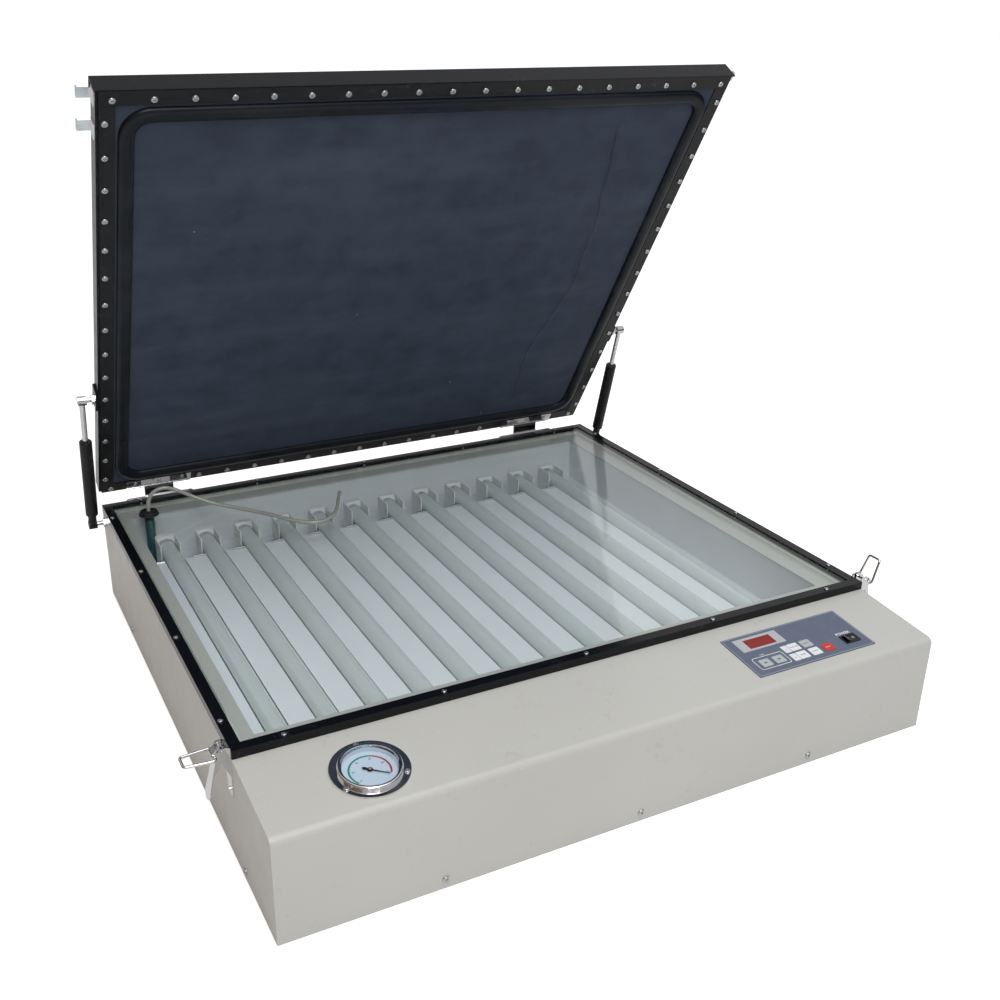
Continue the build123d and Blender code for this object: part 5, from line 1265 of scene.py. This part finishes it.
# ---------------------------------------------------------------- lid
@dataclass
class Lid(SubAssembly):
    """The black frame and the rubber blanket with its raised seal bead."""

    width: float = 858.0
    length: float = 704.0
    side_margin: float = 3.5
    strip_thickness: float = 1.5
    blanket_thickness: float = 1.5
    bead_width: float = 19.0
    bead_height: float = 7.3
    bead_side_inset: float = 24.0
    bead_end_inset: float = 21.0
    bead_corner: float = 39.0
    bead_flatness: float = 0.62          # power of the arch's sine: the lower, the flatter its top
    bead_sunk: float = 0.5
    sheet_rows: int = 181
    wave_height: float = 0.42
    wave_fade: float = 60.0              # the waves die out over this distance from the bead
    crease_depth: float = 1.1
    crease_width: float = 5.0            # half of the strip whose columns bunch up
    crease_end: float = 45.0
    crease_fade: float = 50.0
    groove_reach: float = 1.1
    lip_share: float = 0.55
    lip_away: float = 3.0
    lip_reach: float = 1.6
    crease_along: tuple[float, ...] = (30.0, 120.0, 209.0, 326.0, 467.0, 560.0, 640.0)
    crease_across: tuple[float, ...] = (283.0, 266.0, 266.0, 301.0, 296.0, 281.0, 269.0)
    finishes: dict[str, Finish] = field(default_factory=lambda: {
        "lid_frame": BLACK_ENAMEL,
        "lid_front_channel": BLACK_ENAMEL,
        "clamp_strips": SATIN_BLACK,
        "lid_screws": ZINC,
    })

    def blanket_grid(self) -> np.ndarray:
        """The sheet's upper face: columns bunch up along the crease, which dips between two low lips.

        The crease's line runs through its knots, smoothed by a moving mean, and wavers by two sines.
        The height is a sum of slow sine waves inside the bead, and across the crease a narrow bell
        downward with a lower bell upward on each side of it.

        Returns:
            Rows from the hinge edge to the free edge, by columns across, in the lid's frame.
        """
        half = self.width / 2 - self.side_margin
        along = np.linspace(self.side_margin, self.length - self.side_margin, self.sheet_rows)
        line = np.interp(along, np.array(self.crease_along), np.array(self.crease_across))
        smoothed = np.convolve(np.pad(line, 9, mode="edge"), np.ones(19) / 19, mode="valid")
        crease = (smoothed + 1.5 * np.sin(along / 17) + 0.8 * np.sin(along / 6.3))[:, None]
        left_foot, right_foot = crease - self.crease_width, crease + self.crease_width
        left = left_foot + np.linspace(1, 0, 110)[None, :] * (-half - left_foot)
        bundle = crease + np.linspace(-self.crease_width, self.crease_width, 17)[None, 1:-1]
        right = right_foot + np.linspace(0, 1, 26)[None, :] * (half - right_foot)
        across = np.concatenate([left, bundle, right], axis=1)
        rows = np.broadcast_to(along[:, None], across.shape)
        foot_x = self.width / 2 - self.bead_side_inset - self.bead_width
        foot_y = self.length / 2 - self.bead_end_inset - self.bead_width
        inside_x = np.clip((foot_x - np.abs(across)) / self.wave_fade, 0, 1)
        inside_y = np.clip((foot_y - np.abs(rows - self.length / 2)) / self.wave_fade, 0, 1)
        inside = (3 * inside_x ** 2 - 2 * inside_x ** 3) * (3 * inside_y ** 2 - 2 * inside_y ** 3)
        waves = (np.sin(across / 83 + 0.7) * np.sin(rows / 97 + 1.9)
                 + 0.5 * np.sin(across / 41 + rows / 60) + 0.4 * np.sin(rows / 29 - across / 120))
        away = np.abs(across - crease)
        from_end = np.minimum(rows, self.length - rows)
        ends = np.clip((from_end - self.crease_end) / self.crease_fade, 0, 1)
        lips = self.lip_share * np.exp(-((away - self.lip_away) / self.lip_reach) ** 2)
        groove = lips - np.exp(-(away / self.groove_reach) ** 2)
        hollows = inside * self.wave_height * waves
        height = -self.strip_thickness + hollows + self.crease_depth * ends * groove
        return np.stack([across, rows, height], axis=2)

    def bead_grid(self) -> np.ndarray:
        """The bead: a low flat-topped arch carried round a rounded rectangle, its feet in the sheet.

        The arch's height is a power of the sine of its sweep, and two sines along the loop lower it a
        little in places.

        Returns:
            Points round the loop by points of the arch's profile.
        """
        radius = self.bead_corner - self.bead_width / 2
        half_x = self.width / 2 - self.bead_side_inset - self.bead_corner
        half_y = self.length / 2 - self.bead_end_inset - self.bead_corner
        turn = np.linspace(0, 90, 15)
        sides = np.linspace(0, 1, 40)[1:-1]
        corners = np.array([(1, 1), (-1, 1), (-1, -1), (1, -1)])
        middles, angles = [], []
        for quarter in range(4):
            here = corners[quarter] * (half_x, half_y)
            there = corners[(quarter + 1) % 4] * (half_x, half_y)
            middles += [np.repeat(here[None, :], len(turn), 0), here + (there - here) * sides[:, None]]
            angles += [90 * quarter + turn, np.full(len(sides), 90.0 * quarter + 90)]
        middle = np.concatenate(middles)
        angle = np.radians(np.concatenate(angles))
        direction = np.stack([np.cos(angle), np.sin(angle)], axis=1)
        sweep = np.linspace(0, math.pi, 27)
        shift = -np.cos(sweep) * self.bead_width / 2
        rise = np.sin(sweep) ** self.bead_flatness * self.bead_height - self.bead_sunk
        plane = middle[:, None, :] + direction[:, None, :] * (radius + shift)[None, :, None]
        level = np.broadcast_to(rise[None, :] - self.strip_thickness, plane.shape[:2])
        stretch = np.arange(len(middle))[:, None] / len(middle) * 2 * math.pi
        uneven = 0.35 * np.sin(stretch * 9) + 0.25 * np.sin(stretch * 23 + 1)
        level = level + np.minimum(uneven, 0) * np.clip(rise[None, :] / self.bead_height, 0, 1)
        centre = np.array([0.0, self.length / 2])
        return np.concatenate([plane + centre, level[:, :, None]], axis=2)

    def build(self) -> list[bpy.types.Object]:
        """The blanket's sheet, given its thickness, and the bead on it.

        Returns:
            The sheet and the bead.
        """
        lid = LAYOUT.lid()
        sheet = Surface.grid(self.blanket_grid()).piece(
            "rubber_blanket_sheet", BLANKET_RUBBER, Body.LID.value, lid, 60, closed=False)
        flip_towards(sheet, Vector(lid.out()))
        wall = sheet.modifiers.new("thickness", "SOLIDIFY")
        wall.thickness = self.blanket_thickness * MM
        wall.offset = -1.0
        # The bead's near-black finish is partly painted shade of its sloped sides and feet.
        bead = Surface.grid(self.bead_grid(), wrap_rows=True, wrap_columns=True).piece(
            "rubber_seal_bead", BEAD_RUBBER_AND_SHADE, Body.LID.value, lid, 60)
        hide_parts("blanket")
        return [sheet, bead]


def flip_towards(piece: bpy.types.Object, way: Vector) -> None:
    """Turn an open sheet's faces towards a direction.

    Args:
        piece: the sheet.
        way: the direction that its faces should look in.
    """
    normals = np.zeros(len(piece.data.polygons) * 3)
    piece.data.polygons.foreach_get("normal", normals)
    if normals.reshape(-1, 3).mean(axis=0) @ np.array(way) < 0:
        piece.data.flip_normals()


@dataclass
class Hardware(SubAssembly):
    """Hinges, gas struts and toggle latches."""

    finishes: dict[str, Finish] = field(default_factory=lambda: {
        "hinge_base_leaves": CHROME,
        "hinge_lid_leaves": CHROME,
        "hinge_pins": CHROME,
        "strut_base_studs": CHROME,
        "strut_lid_plates": BLACK_ENAMEL,
        "left_strut_cylinder": SATIN_BLACK,
        "right_strut_cylinder": SATIN_BLACK,
        "left_strut_rod": CHROME,
        "right_strut_rod": CHROME,
        "latch_bases": CHROME,
        "left_latch_lever": CHROME,
        "right_latch_lever": CHROME,
        "left_latch_bail": CHROME,
        "right_latch_bail": CHROME,
        "latch_keepers": CHROME,
    })


def main() -> None:
    """Load the frame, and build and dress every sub-assembly in order."""
    logging.basicConfig(level=logging.INFO, format="%(name)s: %(message)s")
    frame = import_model()
    Studio().build()
    for piece in SuctionHose().build():
        LOG.info("built %s", piece.name)
    parts = (VacuumSystem(), Cabinet(), LightBox(), GlassBed(), Gauge(), ControlPanel(), Lid(), Hardware())
    for part in parts:
        part.dress(frame["nodes"])
        for piece in part.build():
            LOG.info("built %s", piece.name)
        LOG.info("dressed %s: %d nodes", type(part).__name__, len(part.finishes))


if __name__ == "__main__":
    main()
